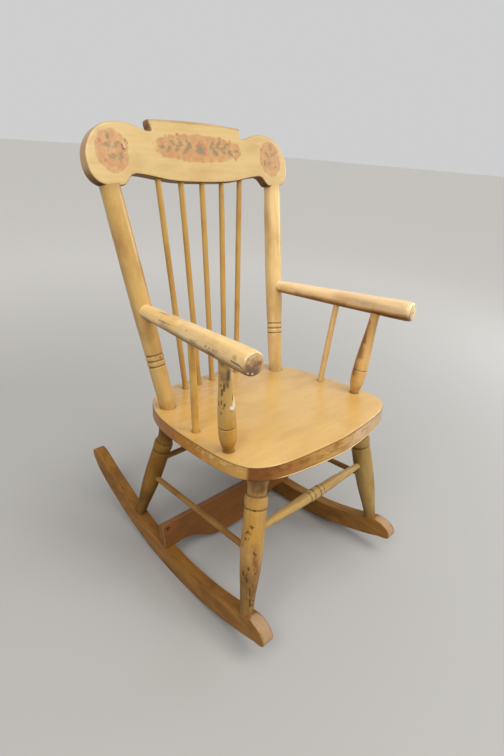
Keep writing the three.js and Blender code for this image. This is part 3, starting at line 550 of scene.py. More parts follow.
def inset_outline(outline, distance):
    """The outline drawn in by a distance, mitred at its corners."""
    p = np.array(outline, float)
    before = p - np.roll(p, 1, axis=0)
    after = np.roll(p, -1, axis=0) - p
    before /= np.linalg.norm(before, axis=1)[:, None]
    after /= np.linalg.norm(after, axis=1)[:, None]
    normal = np.stack([-(before + after)[:, 1], (before + after)[:, 0]], axis=1)
    normal /= np.linalg.norm(normal, axis=1)[:, None]
    half_cosine = np.clip((normal * np.stack([-after[:, 1], after[:, 0]], axis=1)).sum(1), SHARPEST_MITRE, 1)
    return p + normal * (distance / half_cosine)[:, None]


def outline_distance(points, outline):
    """How far each point lies inside the outline; negative outside it."""
    p, a = np.array(points, float), np.array(outline, float)
    b = np.roll(a, -1, axis=0)
    inside = np.zeros(len(p), bool)
    nearest = np.full(len(p), np.inf)
    for (ax, ay), (bx, by) in zip(a, b):
        if ay != by:
            cross = (ay > p[:, 1]) != (by > p[:, 1])
            inside ^= cross & (p[:, 0] < (bx - ax) * (p[:, 1] - ay) / (by - ay) + ax)
        d = np.array([bx - ax, by - ay])
        t = np.clip(((p - (ax, ay)) @ d) / max(d @ d, 1e-18), 0, 1)
        nearest = np.minimum(nearest, np.linalg.norm(p - (ax, ay) - t[:, None] * d, axis=1))
    return np.where(inside, nearest, -nearest)


def fill_face(outline, spacing):
    """Triangles and extra inner points that fill an outline evenly."""
    low, high = np.min(outline, axis=0), np.max(outline, axis=0)
    rows = []
    for k, y in enumerate(np.arange(low[1] + spacing / 2, high[1], spacing * FILL_ROW_STEP)):
        first = low[0] + spacing * (0.25 + 0.5 * (k % 2))
        rows += [(x, y) for x in np.arange(first, high[0], spacing)]
    inner = []
    if rows:
        gap = spacing * FILL_BORDER_GAP
        inner = [q for q, away in zip(rows, outline_distance(rows, outline)) if away > gap]
    points = [Vector(q) for q in outline] + [Vector(q) for q in inner]
    border = list(range(len(outline)))
    found = delaunay_2d_cdt(points, [], [border], 1, 1e-9)
    source = [ids[0] for ids in found[3]]
    return inner, [tuple(source[i] for i in face) for face in found[2]]


def board_levels(thickness, rounding, layers):
    """Depths through a board, each with how far its rounded arris draws the outline in there."""
    turn = [k / ARRIS_STEPS * math.pi / 2 for k in range(ARRIS_STEPS + 1)]
    levels = [(rounding * (1 - math.cos(a)), rounding * (1 - math.sin(a))) for a in turn]
    wall = thickness - 2 * rounding
    levels += [(rounding + wall * k, 0.0) for k in (0.04, *(k / layers for k in range(1, layers)), 0.96)]
    return levels + [(thickness - depth, inset) for depth, inset in levels[ARRIS_STEPS::-1]]


def sawn(name, outline, thickness, rounding, place, grain, spacing, seed, layers=3):
    """A sawn board: place(x, y, behind) puts its outline in space, grain(x, y, behind) its wood."""
    outline = counted_round(outline)
    blank = Blank()
    rings = []
    for depth, inset in board_levels(thickness, rounding, layers):
        flat = inset_outline(outline, inset) if inset else np.array(outline, float)
        places = [place(x, y, depth) for x, y in flat]
        edge = 1.0 if inset < rounding and min(depth, thickness - depth) <= rounding else 0.0
        wood = [grain(x, y, depth) for x, y in flat]
        rings.append(blank.add_ring(places, wood, edge, 0.0 if inset else 1.0, depth))
        if len(rings) > 1:
            blank.join(rings[-1], rings[-2])
    face_outline = [tuple(q) for q in inset_outline(outline, rounding)]
    inner, triangles = fill_face(face_outline, spacing)
    for ring, depth, forward in ((rings[0], 0.0, True), (rings[-1], thickness, False)):
        extra = blank.add_ring(
            [place(x, y, depth) for x, y in inner], [grain(x, y, depth) for x, y in inner], depth=depth
        )
        ids = ring + extra
        for face in triangles:
            corners = tuple(ids[i] for i in face)
            blank.faces.append(corners if forward else corners[::-1])
    return make_piece(name, blank, SAWN_SHARP_DEGREES, seed)


# Marks of use, painted on the corners of a mesh

def capsule_share(points, start, end, radius):
    """1 on the line of a mark, fading to 0 at its radius."""
    a, b = np.array(start, float), np.array(end, float)
    d = b - a
    t = np.clip(((points - a) @ d) / max(d @ d, 1e-12), 0, 1)
    away = np.linalg.norm(points - a - t[:, None] * d, axis=1)
    return np.clip(1 - away / radius, 0, 1)


def corner_places(mesh):
    """The places of a mesh's corners, one row each."""
    points = np.empty(len(mesh.vertices) * 3, np.float32)
    mesh.vertices.foreach_get("co", points)
    return points.reshape(-1, 3)


def marks_on(name):
    """The marks on a piece: its own, and those that it shares with its partner on the other side."""
    pair, _, side = name.rpartition("_")
    sign = -1 if side == "left" else 1
    shared = [
        (kind, radius, strength, *((sign * x, y, z) for x, y, z in line))
        for kind, radius, strength, *line in PAIRED_MARKS.get(pair, ())
    ]
    return shared + list(MARKS.get(name, ()))


def paint_marks(piece):
    """Lays every kind of mark on a piece, the strongest where two of a kind meet."""
    mesh = piece.data
    points = corner_places(mesh)
    marks = marks_on(piece.name)
    for kind in MARK_KINDS:
        values = np.zeros(len(points))
        for mark, radius, strength, *line in marks:
            if mark == kind:
                share = capsule_share(points, line[0], line[-1], radius)
                values = np.maximum(values, strength * share * share * (3 - 2 * share))
        set_mark(mesh, kind, values)


MARK_KINDS = ("tint", "amber", "pale", "white", "chips", "nick", "grime")

# A mark is its kind, its radius and its strength, and then its place, or the two ends of its middle line,
# in the imported frame. These lie alike on both sides, and are given on the sitter's right.
# The darkening marks among these are painted shade where the posts and legs meet the seat, the crest and the
# rockers, and painted shade with some soiling high on the rear legs under the seat; the pale patch on each
# rocker's nose is wear.
PAIRED_MARKS = {
    "turned_arm_post": (
        ("grime", 0.0108, 3.0, (-0.1536, -0.1402, 0.3052)),
    ),
    "turned_rear_leg": (
        ("grime", 0.033, 0.75, (-0.13, 0.03, 0.28), (-0.13, 0.035, 0.245)),
    ),
    "turned_back_post": (
        ("grime", 0.024, 0.6, (-0.1706, 0.118, 0.633)),
        ("grime", 0.02, 0.55, (-0.1314, 0.0324, 0.296)),
    ),
    "sawn_rocker": (
        ("pale", 0.023, 1.15, (-0.169, -0.266, 0.04), (-0.169, -0.238, 0.066)),
        ("grime", 0.021, 0.6, (-0.169, -0.2127, 0.064)),
        ("grime", 0.02, 0.6, (-0.152, 0.0914, 0.056)),
    ),
}

# The marks that only one piece has.
MARKS = {
    "turned_arm_right": (
        ("tint", 0.0175, 3.2, (-0.1855, -0.2063, 0.468)),
        ("pale", 0.0075, 0.6, (-0.1914, -0.2049, 0.4773), (-0.1845, -0.2058, 0.4797)),
        ("grime", 0.01, 0.85, (-0.195, -0.2051, 0.4622), (-0.1806, -0.2074, 0.458)),
        ("grime", 0.0085, 0.7, (-0.1868, -0.2064, 0.4633), (-0.184, -0.2065, 0.4673)),
        ("tint", 0.008, 0.55, (-0.196, -0.195, 0.462), (-0.188, -0.13, 0.46)),
        # Painted highlights on the arm's end.
        ("white", 0.0026, 1.4, (-0.1936, -0.2049, 0.4585), (-0.1934, -0.2047, 0.4576)),
        ("white", 0.0026, 1.3, (-0.1875, -0.2067, 0.4566)),
        ("nick", 0.0026, 0.95, (-0.1971, -0.18, 0.4664), (-0.1987, -0.1954, 0.4666)),
        ("nick", 0.0024, 0.9, (-0.1987, -0.1954, 0.4666), (-0.1984, -0.2002, 0.4645)),
        ("tint", 0.005, 0.7, (-0.1965, -0.1842, 0.4721), (-0.1968, -0.1861, 0.4722)),
        ("tint", 0.006, 0.7, (-0.1915, -0.1416, 0.465), (-0.1927, -0.1504, 0.4656)),
        ("nick", 0.0028, 0.8, (-0.1887, -0.1231, 0.465), (-0.189, -0.1254, 0.4652)),
        ("nick", 0.0026, 0.8, (-0.1901, -0.1324, 0.4652), (-0.1902, -0.1335, 0.4654)),
        ("nick", 0.0026, 0.8, (-0.1913, -0.1404, 0.4652), (-0.1914, -0.1415, 0.4655)),
        ("tint", 0.006, 0.55, (-0.1606, 0.0056, 0.4691), (-0.1646, -0.0155, 0.4704)),
        ("tint", 0.016, 0.3, (-0.152, 0.045, 0.472), (-0.167, -0.03, 0.473)),
        ("amber", 0.026, 0.55, (-0.153, 0.045, 0.469), (-0.168, -0.035, 0.47)),
        ("nick", 0.0021, 0.62, (-0.1618, 0.009, 0.4686), (-0.1631, -0.0103, 0.4702)),
        ("nick", 0.0026, 0.8, (-0.1611, 0.011, 0.4685), (-0.1614, 0.0099, 0.4686)),
        ("tint", 0.006, 0.5, (-0.1723, -0.0095, 0.4608), (-0.1749, -0.0272, 0.4615)),
        ("nick", 0.0022, 0.66, (-0.1706, 0.0014, 0.4611), (-0.1756, -0.035, 0.4641)),
        ("nick", 0.0021, 0.6, (-0.1719, -0.0294, 0.4682), (-0.1764, -0.0354, 0.4606)),
        ("tint", 0.012, 0.2, (-0.1759, -0.0598, 0.4705), (-0.1885, -0.1395, 0.4729)),
        ("grime", 0.0062, 0.42, (-0.1716, -0.0037, 0.4557), (-0.1903, -0.1425, 0.4584)),
        ("tint", 0.006, 0.6, (-0.1839, -0.0894, 0.4601), (-0.1851, -0.0991, 0.4601)),
        ("nick", 0.0024, 0.7, (-0.1795, -0.0731, 0.4688), (-0.1798, -0.0756, 0.4689)),
        ("nick", 0.0024, 0.7, (-0.1855, -0.1014, 0.4649), (-0.1858, -0.1038, 0.465)),
        ("chips", 0.013, 0.45, (-0.16, -0.13, 0.456), (-0.187, -0.195, 0.456)),
        ("chips", 0.009, 0.35, (-0.15, 0.04, 0.465), (-0.158, -0.02, 0.465)),
    ),
    "turned_arm_left": (
        ("tint", 0.0105, 0.75, (0.1621, -0.0886, 0.4498)),
        ("tint", 0.011, 0.9, (0.1621, -0.0886, 0.4498), (0.1695, -0.2009, 0.4594)),
        ("tint", 0.018, 0.26, (0.164, -0.085, 0.466), (0.17, -0.195, 0.472)),
        ("grime", 0.012, 0.24, (0.155, -0.07, 0.468), (0.1618, -0.143, 0.4675)),
        # A painted highlight along the top of the arm's front half.
        ("pale", 0.0125, 0.52, (0.1605, -0.115, 0.467), (0.1664, -0.1952, 0.4686)),
        ("tint", 0.013, 0.75, (0.1765, -0.2072, 0.464)),
        ("nick", 0.003, 0.8, (0.1818, -0.2068, 0.4674), (0.1832, -0.2067, 0.4671)),
        ("nick", 0.003, 0.8, (0.1709, -0.2069, 0.4617), (0.1721, -0.2073, 0.4611)),
        ("nick", 0.0026, 0.6, (0.1616, -0.1411, 0.4593), (0.162, -0.1448, 0.4593)),
        ("tint", 0.006, 0.5, (0.153, -0.0612, 0.4571), (0.1561, -0.0913, 0.4588)),
        ("tint", 0.012, 0.75, (0.145, 0.01, 0.45), (0.156, -0.09, 0.452)),
    ),
    "turned_arm_post_right": (
        ("tint", 0.0045, 1.0, (-0.1806, -0.1472, 0.4469), (-0.1805, -0.1471, 0.4455)),
        ("tint", 0.0062, 1.15, (-0.1795, -0.1455, 0.433), (-0.1783, -0.1465, 0.4255)),
        ("grime", 0.0072, 0.95, (-0.1716, -0.1511, 0.4351), (-0.1729, -0.151, 0.4243)),
        ("grime", 0.005, 0.9, (-0.1738, -0.1506, 0.4243), (-0.1729, -0.1508, 0.415)),
        ("nick", 0.003, 0.95, (-0.1783, -0.144, 0.416), (-0.1781, -0.1442, 0.4146)),
        ("nick", 0.0028, 0.95, (-0.1765, -0.1482, 0.4186), (-0.1756, -0.1483, 0.4084)),
        ("nick", 0.0032, 0.95, (-0.1771, -0.1458, 0.4093), (-0.1767, -0.1453, 0.401)),
        ("nick", 0.003, 0.9, (-0.1763, -0.1399, 0.3892), (-0.176, -0.14, 0.3847)),
        ("nick", 0.0024, 0.85, (-0.1763, -0.1449, 0.3928), (-0.1759, -0.1449, 0.3875)),
        ("nick", 0.0034, 1.0, (-0.1739, -0.1488, 0.3885), (-0.1741, -0.1485, 0.3862)),
        ("nick", 0.0026, 0.8, (-0.1747, -0.1473, 0.383), (-0.1747, -0.1472, 0.3822)),
        ("nick", 0.0028, 0.75, (-0.1753, -0.144, 0.375), (-0.1749, -0.1442, 0.372)),
        ("nick", 0.0028, 0.95, (-0.1631, -0.1516, 0.3995), (-0.1638, -0.1524, 0.3942)),
        ("nick", 0.0024, 0.7, (-0.167, -0.1532, 0.3778), (-0.1636, -0.1535, 0.3767)),
        ("white", 0.005, 1.4, (-0.1584, -0.1512, 0.3845)),
        ("white", 0.0036, 1.5, (-0.1663, -0.1531, 0.383)),
        ("white", 0.0042, 1.4, (-0.1613, -0.152, 0.3895), (-0.1615, -0.1527, 0.3832)),
        ("amber", 0.026, 0.9, (-0.1681, -0.1514, 0.3523), (-0.1634, -0.1492, 0.3211)),
        ("white", 0.005, 1.4, (-0.1597, -0.1515, 0.3965), (-0.1597, -0.151, 0.387)),
        ("white", 0.004, 1.5, (-0.164, -0.1528, 0.381), (-0.159, -0.151, 0.381)),
        # Painted shade where the post meets the arm.
        ("grime", 0.013, 0.85, (-0.1795, -0.145, 0.456)),
    ),
    "turned_arm_post_left": (
        ("tint", 0.008, 1.3, (0.165, -0.1394, 0.436), (0.1474, -0.1355, 0.3431)),
        ("tint", 0.006, 1.4, (0.1597, -0.1404, 0.4118), (0.1573, -0.1421, 0.4018)),
        ("tint", 0.007, 1.4, (0.1549, -0.1401, 0.3906), (0.1517, -0.1431, 0.3754)),
        # Painted shade where the post meets the arm.
        ("grime", 0.013, 0.75, (0.1795, -0.145, 0.456)),
    ),
    "turned_front_leg_right": (
        ("chips", 0.0075, 0.8, (-0.1568, -0.1925, 0.202), (-0.1615, -0.19, 0.174)),
        ("chips", 0.011, 0.84, (-0.167, -0.204, 0.142), (-0.169, -0.2185, 0.076)),
        ("chips", 0.007, 0.82, (-0.1558, -0.2076, 0.17), (-0.164, -0.219, 0.085)),
        ("nick", 0.003, 0.95, (-0.146, -0.1918, 0.2272), (-0.1449, -0.1931, 0.2269)),
        ("nick", 0.0036, 1.0, (-0.1531, -0.1944, 0.205), (-0.1529, -0.1964, 0.203)),
        ("nick", 0.0024, 0.7, (-0.1507, -0.1981, 0.2046), (-0.1504, -0.1985, 0.2044)),
        ("nick", 0.0036, 1.0, (-0.1568, -0.1922, 0.1956), (-0.1564, -0.1935, 0.1951)),
        ("nick", 0.0024, 0.8, (-0.1553, -0.1963, 0.1948), (-0.1555, -0.197, 0.193)),
        ("nick", 0.003, 0.85, (-0.1592, -0.1907, 0.1849), (-0.1594, -0.1927, 0.1837)),
        ("nick", 0.0022, 0.7, (-0.1576, -0.1962, 0.1872), (-0.1576, -0.1968, 0.1863)),
        ("nick", 0.0026, 0.7, (-0.1615, -0.1897, 0.1725), (-0.1616, -0.1918, 0.1723)),
        ("nick", 0.0026, 0.7, (-0.1571, -0.202, 0.1786), (-0.1562, -0.2034, 0.1772)),
        ("nick", 0.0022, 0.7, (-0.1523, -0.2058, 0.1802), (-0.152, -0.206, 0.1797)),
        ("nick", 0.0026, 0.8, (-0.156, -0.2071, 0.1676), (-0.1558, -0.2076, 0.1669)),
        ("nick", 0.0034, 1.0, (-0.1558, -0.2083, 0.1646), (-0.1539, -0.2096, 0.1625)),
        ("tint", 0.0085, 1.25, (-0.1565, -0.209, 0.1589), (-0.1553, -0.2145, 0.137)),
        ("grime", 0.0042, 0.5, (-0.1565, -0.2113, 0.1511), (-0.1563, -0.2128, 0.1445)),
        ("nick", 0.0036, 0.95, (-0.1647, -0.2066, 0.1434), (-0.1649, -0.2077, 0.1405)),
        ("nick", 0.0036, 0.9, (-0.1684, -0.2007, 0.1336), (-0.1689, -0.2023, 0.1293)),
        ("nick", 0.0032, 0.85, (-0.1576, -0.2146, 0.1342), (-0.1575, -0.2148, 0.1333)),
        ("nick", 0.0036, 1.0, (-0.1679, -0.2075, 0.1268), (-0.1681, -0.2095, 0.1208)),
        ("nick", 0.0024, 0.7, (-0.163, -0.2147, 0.1213)),
        ("grime", 0.0065, 0.6, (-0.1703, -0.2084, 0.1115), (-0.1697, -0.2127, 0.1046)),
        ("nick", 0.0026, 0.8, (-0.1666, -0.214, 0.1115), (-0.167, -0.2169, 0.0982)),
        ("nick", 0.0032, 1.0, (-0.1678, -0.2178, 0.0914), (-0.1681, -0.2196, 0.081)),
        ("nick", 0.003, 0.9, (-0.1637, -0.2196, 0.0889), (-0.1626, -0.2198, 0.0872)),
        ("nick", 0.003, 0.9, (-0.1697, -0.2191, 0.0807)),
        # Painted shade under the seat, with some soiling, on the neck.
        ("tint", 0.015, 0.9, (-0.1351, -0.1887, 0.2618), (-0.1323, -0.1907, 0.2547)),
        ("grime", 0.01, 0.6, (-0.1373, -0.1876, 0.2553), (-0.1308, -0.1909, 0.2576)),
        ("nick", 0.0032, 0.9, (-0.1668, -0.2195, 0.082), (-0.162, -0.223, 0.081)),
        # Painted shade under the seat, with some soiling, at the top of the leg.
        ("tint", 0.03, 1.9, (-0.15, -0.193, 0.282), (-0.151, -0.1935, 0.261)),
        ("grime", 0.027, 0.85, (-0.15, -0.193, 0.286), (-0.149, -0.194, 0.265)),
        # These two tints, and the last one, make the leg darker towards its foot.
        ("tint", 0.02, 0.75, (-0.156, -0.208, 0.168), (-0.161, -0.218, 0.1)),
        ("tint", 0.019, 0.6, (-0.15, -0.212, 0.155), (-0.154, -0.22, 0.11)),
        ("amber", 0.03, 0.8, (-0.152, -0.195, 0.235), (-0.156, -0.199, 0.185)),
        # Painted shade where the foot meets its rocker.
        ("grime", 0.042, 0.6, (-0.169, -0.2127, 0.056), (-0.164, -0.209, 0.115)),
        ("chips", 0.017, 0.5, (-0.165, -0.217, 0.15), (-0.17, -0.223, 0.075)),
        ("chips", 0.015, 0.36, (-0.156, -0.201, 0.22), (-0.16, -0.208, 0.16)),
        ("tint", 0.03, 0.55, (-0.169, -0.2127, 0.056), (-0.162, -0.205, 0.14)),
    ),
    "turned_front_leg_left": (
        ("chips", 0.016, 0.42, (0.15, -0.193, 0.23), (0.169, -0.213, 0.07)),
        # Painted shade under the seat, with some soiling, at the top of the leg, and painted shade where the
        # foot meets its rocker.
        ("tint", 0.03, 0.8, (0.15, -0.193, 0.282), (0.151, -0.1935, 0.26)),
        ("grime", 0.031, 0.55, (0.15, -0.193, 0.285), (0.15, -0.193, 0.27)),
        ("grime", 0.028, 0.45, (0.169, -0.2127, 0.056), (0.167, -0.211, 0.08)),
    ),
    "turned_rear_leg_right": (
        ("chips", 0.016, 0.4, (-0.135, 0.04, 0.23), (-0.151, 0.09, 0.08)),
        # Painted shade where the foot meets its rocker.
        ("grime", 0.033, 0.5, (-0.151, 0.0914, 0.056), (-0.148, 0.08, 0.1)),
    ),
    "turned_rear_leg_left": (
        # Painted shade where the foot meets its rocker.
        ("grime", 0.018, 0.6, (0.151, 0.0914, 0.06), (0.151, 0.09, 0.075)),
    ),
    "seat_board": (
        ("amber", 0.075, 0.75, (-0.125, -0.11, 0.306), (-0.105, 0.02, 0.299)),
        ("amber", 0.03, 0.35, (0.09, -0.17, 0.307), (0.13, -0.15, 0.307)),
        ("tint", 0.009, 0.75, (-0.005, -0.231, 0.296), (0.008, -0.231, 0.294)),
        # Painted shade across the back of the seat.
        ("tint", 0.075, 0.34, (-0.1, 0.045, 0.2975), (0.1, 0.045, 0.2975)),
        ("chips", 0.015, 0.25, (-0.165, -0.19, 0.293), (0.16, -0.23, 0.293)),
    ),
    "crest_board": (
        ("pale", 0.0036, 0.9, (-0.1435, 0.1243, 0.6895), (-0.1411, 0.1221, 0.6819)),
        ("nick", 0.003, 0.8, (-0.146, 0.1232, 0.6855), (-0.145, 0.1214, 0.6791)),
        ("nick", 0.0028, 0.75, (-0.1388, 0.1251, 0.6923), (-0.1361, 0.1233, 0.686)),
        ("nick", 0.0028, 0.7, (-0.1429, 0.1219, 0.6812), (-0.1405, 0.1207, 0.6767)),
        ("nick", 0.003, 0.7, (0.1459, 0.1185, 0.6689), (0.1458, 0.1175, 0.6656)),
        ("tint", 0.011, 1.6, (-0.0925, 0.14, 0.715), (-0.0925, 0.148, 0.713)),
        ("grime", 0.008, 0.45, (-0.0925, 0.139, 0.712), (-0.0925, 0.146, 0.709)),
        # Painted shade along the lower edges of the lobes.
        ("grime", 0.008, 0.75, (-0.19, 0.115, 0.632), (-0.145, 0.115, 0.632)),
        ("grime", 0.008, 0.75, (0.19, 0.115, 0.632), (0.145, 0.115, 0.632)),
    ),
}


# Finishes

# What shows where the lacquer is gone or covered, the dark tone laid by soiling and by painted shade, and the
# pale and white tones, which also serve as painted highlights.
PALE_WOOD = (0.70, 0.52, 0.34)
CHIPPED_WOOD = (0.105, 0.044, 0.012)
SOILING_AND_SHADE = (0.075, 0.036, 0.014)
WHITE_SPOT = (0.78, 0.74, 0.62)
# Tones that multiply what they lie on: old amber, and painted shade on the sawn edges that face up and on
# every face that looks down.
OLD_AMBER = (1.0, 0.87, 0.5)
TOP_EDGE_SHADE = (0.36, 0.27, 0.18)
UNDERSIDE_SHADE = (0.27, 0.17, 0.075)

# How rough the clear coat is, and the shine of wood without it, and under it where it is gone and whole.
COAT_ROUGHNESS = 0.18
SHINE_UNCOATED = 0.16
SHINE_UNDERNEATH, SHINE_COATED = 0.12, 0.45


def dimmed(tone_here, share):
    """A tone with its red, green and blue all lighter or darker by the same share."""
    return tuple(v * share for v in tone_here)


class Finish:
    """The nodes of one finish, with short ways to add and join them."""

    def __init__(self, name):
        self.material = bpy.data.materials.new(name)
        self.material.use_nodes = True
        self.tree = self.material.node_tree
        self.tree.nodes.clear()
        output = self.tree.nodes.new("ShaderNodeOutputMaterial")
        self.shader = self.tree.nodes.new("ShaderNodeBsdfPrincipled")
        self.tree.links.new(self.shader.outputs["BSDF"], output.inputs["Surface"])

    def feed(self, socket, value):
        """Gives a socket a number or a colour, or joins it to what another node puts out."""
        if isinstance(value, bpy.types.NodeSocket):
            self.tree.links.new(value, socket)
        elif value is not None:
            socket.default_value = value

    def give(self, name, value):
        """Sets or joins one input of the shader."""
        self.feed(self.shader.inputs[name], value)

    def place(self):
        """Where a point lies, in metres."""
        return self.tree.nodes.new("ShaderNodeTexCoord").outputs["Object"]

    def mark(self, name):
        """A mark stored on the mesh, as a number."""
        node = self.tree.nodes.new("ShaderNodeAttribute")
        node.attribute_name = name
        return node.outputs["Fac"]

    def grain(self, across, along):
        """The wood's own coordinates, drawn out along the grain."""
        node = self.tree.nodes.new("ShaderNodeAttribute")
        node.attribute_name = "grain"
        scale = self.tree.nodes.new("ShaderNodeVectorMath")
        scale.operation = "MULTIPLY"
        self.feed(scale.inputs[0], node.outputs["Vector"])
        scale.inputs[1].default_value = (across, across, along)
        return scale.outputs["Vector"]

    def clouds(self, vector, scale, detail=3.0, roughness=0.5, distortion=0.0):
        """Soft noise between 0 and 1."""
        node = self.tree.nodes.new("ShaderNodeTexNoise")
        self.feed(node.inputs["Vector"], vector)
        for name, value in (("Scale", scale), ("Detail", detail), ("Roughness", roughness),
                            ("Distortion", distortion)):
            node.inputs[name].default_value = value
        return node.outputs["Fac"]

    def cells(self, vector, scale):
        """The distance to the middle of the nearest of many scattered cells."""
        node = self.tree.nodes.new("ShaderNodeTexVoronoi")
        self.feed(node.inputs["Vector"], vector)
        node.inputs["Scale"].default_value = scale
        return node.outputs["Distance"]

    def sum(self, a, b, operation="ADD"):
        """Two values added, or joined by another kind of arithmetic."""
        node = self.tree.nodes.new("ShaderNodeMath")
        node.operation = operation
        self.feed(node.inputs[0], a)
        self.feed(node.inputs[1], b)
        return node.outputs[0]

    def times(self, a, b):
        """One value times another."""
        return self.sum(a, b, "MULTIPLY")

    def step(self, value, low, high, out_low=0.0, out_high=1.0):
        """A smooth step from one value to another."""
        node = self.tree.nodes.new("ShaderNodeMapRange")
        node.interpolation_type = "SMOOTHSTEP"
        for name, number in (("Value", value), ("From Min", low), ("From Max", high),
                             ("To Min", out_low), ("To Max", out_high)):
            self.feed(node.inputs[name], number)
        return node.outputs["Result"]

    def band(self, value, rise, fall):
        """1 between two soft limits, each given by where its step starts and ends."""
        return self.times(self.step(value, *rise), self.step(value, *fall))

    def uneven(self, share, ragged, stray):
        """A share whose outline strays with a field of noise."""
        return self.sum(share, self.times(self.sum(ragged, 0.5, "SUBTRACT"), stray))

    def present(self, share):
        """Nothing where there is no mark, so that noise alone doesn't show there."""
        return self.step(share, 0.02, 0.2)

    def blend(self, share, first, second, mode="MIX"):
        """A share of the second colour laid on the first."""
        node = self.tree.nodes.new("ShaderNodeMix")
        node.data_type = "RGBA"
        node.blend_type = mode
        self.feed(node.inputs[0], share)
        self.feed(node.inputs[6], (*first, 1) if isinstance(first, tuple) else first)
        self.feed(node.inputs[7], (*second, 1) if isinstance(second, tuple) else second)
        return node.outputs[2]

    def bump(self, height, strength, distance, under=None):
        """The surface raised by a height, over the relief that is under it."""
        node = self.tree.nodes.new("ShaderNodeBump")
        node.inputs["Strength"].default_value = strength
        node.inputs["Distance"].default_value = distance
        self.feed(node.inputs["Height"], height)
        self.feed(node.inputs["Normal"], under)
        return node.outputs["Normal"]


class OldWoodFinish(Finish):
    """The lacquer or stain of one piece, and each way in which it has aged."""

    def __init__(self, name, seed):
        super().__init__(name)
        self.worn = linear(colours().worn_wood)
        self.fine = self.clouds(self.grain(1, 0.035), 850, 4, 0.6)
        self.streak = self.clouds(self.grain(1, 0.07), 150 + seed, 4, 0.55, 0.3)
        self.blotch = self.clouds(self.grain(1, 0.5), 26 + seed, 4, 0.55)
        self.ragged = self.clouds(self.grain(1, 0.4), 210, 5, 0.62)
        self.soft = self.clouds(self.grain(1, 0.3), 120, 4, 0.6)

    def figured(self, tones, figure):
        """Streaks, blotches and fine lines of three tones."""
        light, middle, dark = tones
        half = 0.5 * figure
        colour = self.blend(self.step(self.streak, 0.3, 0.72, 0.5 - half, 0.5 + half), light, middle)
        colour = self.blend(self.step(self.blotch, 0.42, 0.75, 0, 0.8 * figure), colour, dark)
        return self.blend(self.step(self.fine, 0.56, 0.72, 0, 0.28 * figure), colour, dark)

    def shaded_on_top(self, colour, strength):
        """Painted shade: the sawn edges that face up are darkened."""
        top_shaded = self.times(self.step(self.mark("over"), 0.3, 0.9, 0, strength), self.mark("wall"))
        return self.blend(top_shaded, colour, TOP_EDGE_SHADE, "MULTIPLY")

    def thinned_and_shaded(self, colour):
        """Amber patches of old lacquer, and brown ones where it is nearly worn away, which on the seat's back
        and the legs' necks are painted shade instead.
        """
        colour = self.blend(self.mark("amber"), colour, OLD_AMBER, "MULTIPLY")
        # The brown share: wear in most places, painted shade across the seat's back and on the legs' necks.
        thin = self.sum(self.mark("tint"), 1.0, "MINIMUM")
        thin = self.times(thin, self.step(self.soft, 0.32, 0.66, 0.42, 1.0))
        return self.blend(thin, colour, self.worn)

    def lined_arris(self, colour, strength, tone_here):
        """A broken line of another tone along the sharp edges."""
        line = self.times(self.step(self.mark("edge"), 0.25, 0.9), strength)
        return self.blend(self.times(line, self.step(self.blotch, 0.3, 0.6, 0.5, 1.0)), colour, tone_here)

    def rubbed_through(self, rubbing):
        """The shares of the edges that are rubbed down to the wood, and to thin lacquer round it."""
        edge = self.times(self.step(self.mark("edge"), 0.15, 1), rubbing)
        share = self.times(edge, self.step(self.blotch, 0.46, 0.66, 0, 0.62))
        field = self.uneven(share, self.ragged, 1.5)
        rubbed = self.times(self.step(field, 0.42, 0.56), self.present(share))
        thin = self.times(self.step(field, 0.28, 0.42), self.present(share))
        return rubbed, thin

    def rubbed_edges(self, colour, light, rubbed, thin):
        """Brown wood on the rubbed edges, inside a pale rim of thin lacquer."""
        rim = tuple(min(1, v * 1.18 + 0.04) for v in light)
        wood = self.blend(self.step(self.streak, 0.35, 0.65), self.worn, dimmed(self.worn, 0.62))
        colour = self.blend(self.times(thin, 0.35), colour, rim)
        return self.blend(self.times(rubbed, 0.9), colour, wood)

    def pale_patches(self, colour, patch, pale_tone):
        """Pale patches: worn wood where the lacquer is gone, and a painted highlight in the same tone along
        the top of the far arm.
        """
        share = self.times(self.step(self.uneven(patch, self.ragged, 0.8), 0.25, 0.75), self.present(patch))
        return self.blend(self.times(share, 0.8), colour, self.blend(self.streak, pale_tone, dimmed(pale_tone, 0.8)))

    def chipped(self):
        """The share that is chipped off: broken flakes, fine pits and single nicks."""
        size = self.times(self.mark("chips"), 0.52)
        spread = self.sum(self.cells(self.grain(1, 0.55), 210), self.times(self.ragged, 0.35))
        flakes = self.step(self.sum(size, spread, "SUBTRACT"), -0.06, 0.04)
        flakes = self.times(flakes, self.step(size, 0.02, 0.1))
        spread = self.sum(self.cells(self.grain(1, 0.5), 560), self.times(self.ragged, 0.3))
        pits = self.sum(self.times(self.mark("chips"), 0.50), spread, "SUBTRACT")
        pits = self.step(pits, -0.02, 0.06)
        nick = self.mark("nick")
        nicks = self.times(self.step(self.uneven(nick, self.ragged, 0.7), 0.25, 0.8), self.present(nick))
        return self.sum(self.sum(flakes, pits, "MAXIMUM"), nicks, "MAXIMUM")

    def soiled_and_shaded(self):
        """The share that is darkened: in the grooves of the turnings, and by the marks, which are painted
        shade where pieces meet, under the seat and under the crest, and soiling in a few spots such as the
        near arm's end.
        """
        groove = self.times(self.step(self.mark("edge"), -0.1, -0.75), 0.62)
        soiling_and_shade = self.sum(self.sum(self.mark("grime"), groove, "MAXIMUM"), 1.0, "MINIMUM")
        return self.times(soiling_and_shade, self.step(self.ragged, 0.3, 0.6, 0.62, 1.0))

    def white_spots(self, colour):
        """White spots: painted highlights on the end of the near arm, and white flecks on the near arm post.
        """
        spotted = self.uneven(self.mark("white"), self.ragged, 0.6)
        return self.blend(self.times(self.step(spotted, 0.42, 0.6), 0.95), colour, WHITE_SPOT)

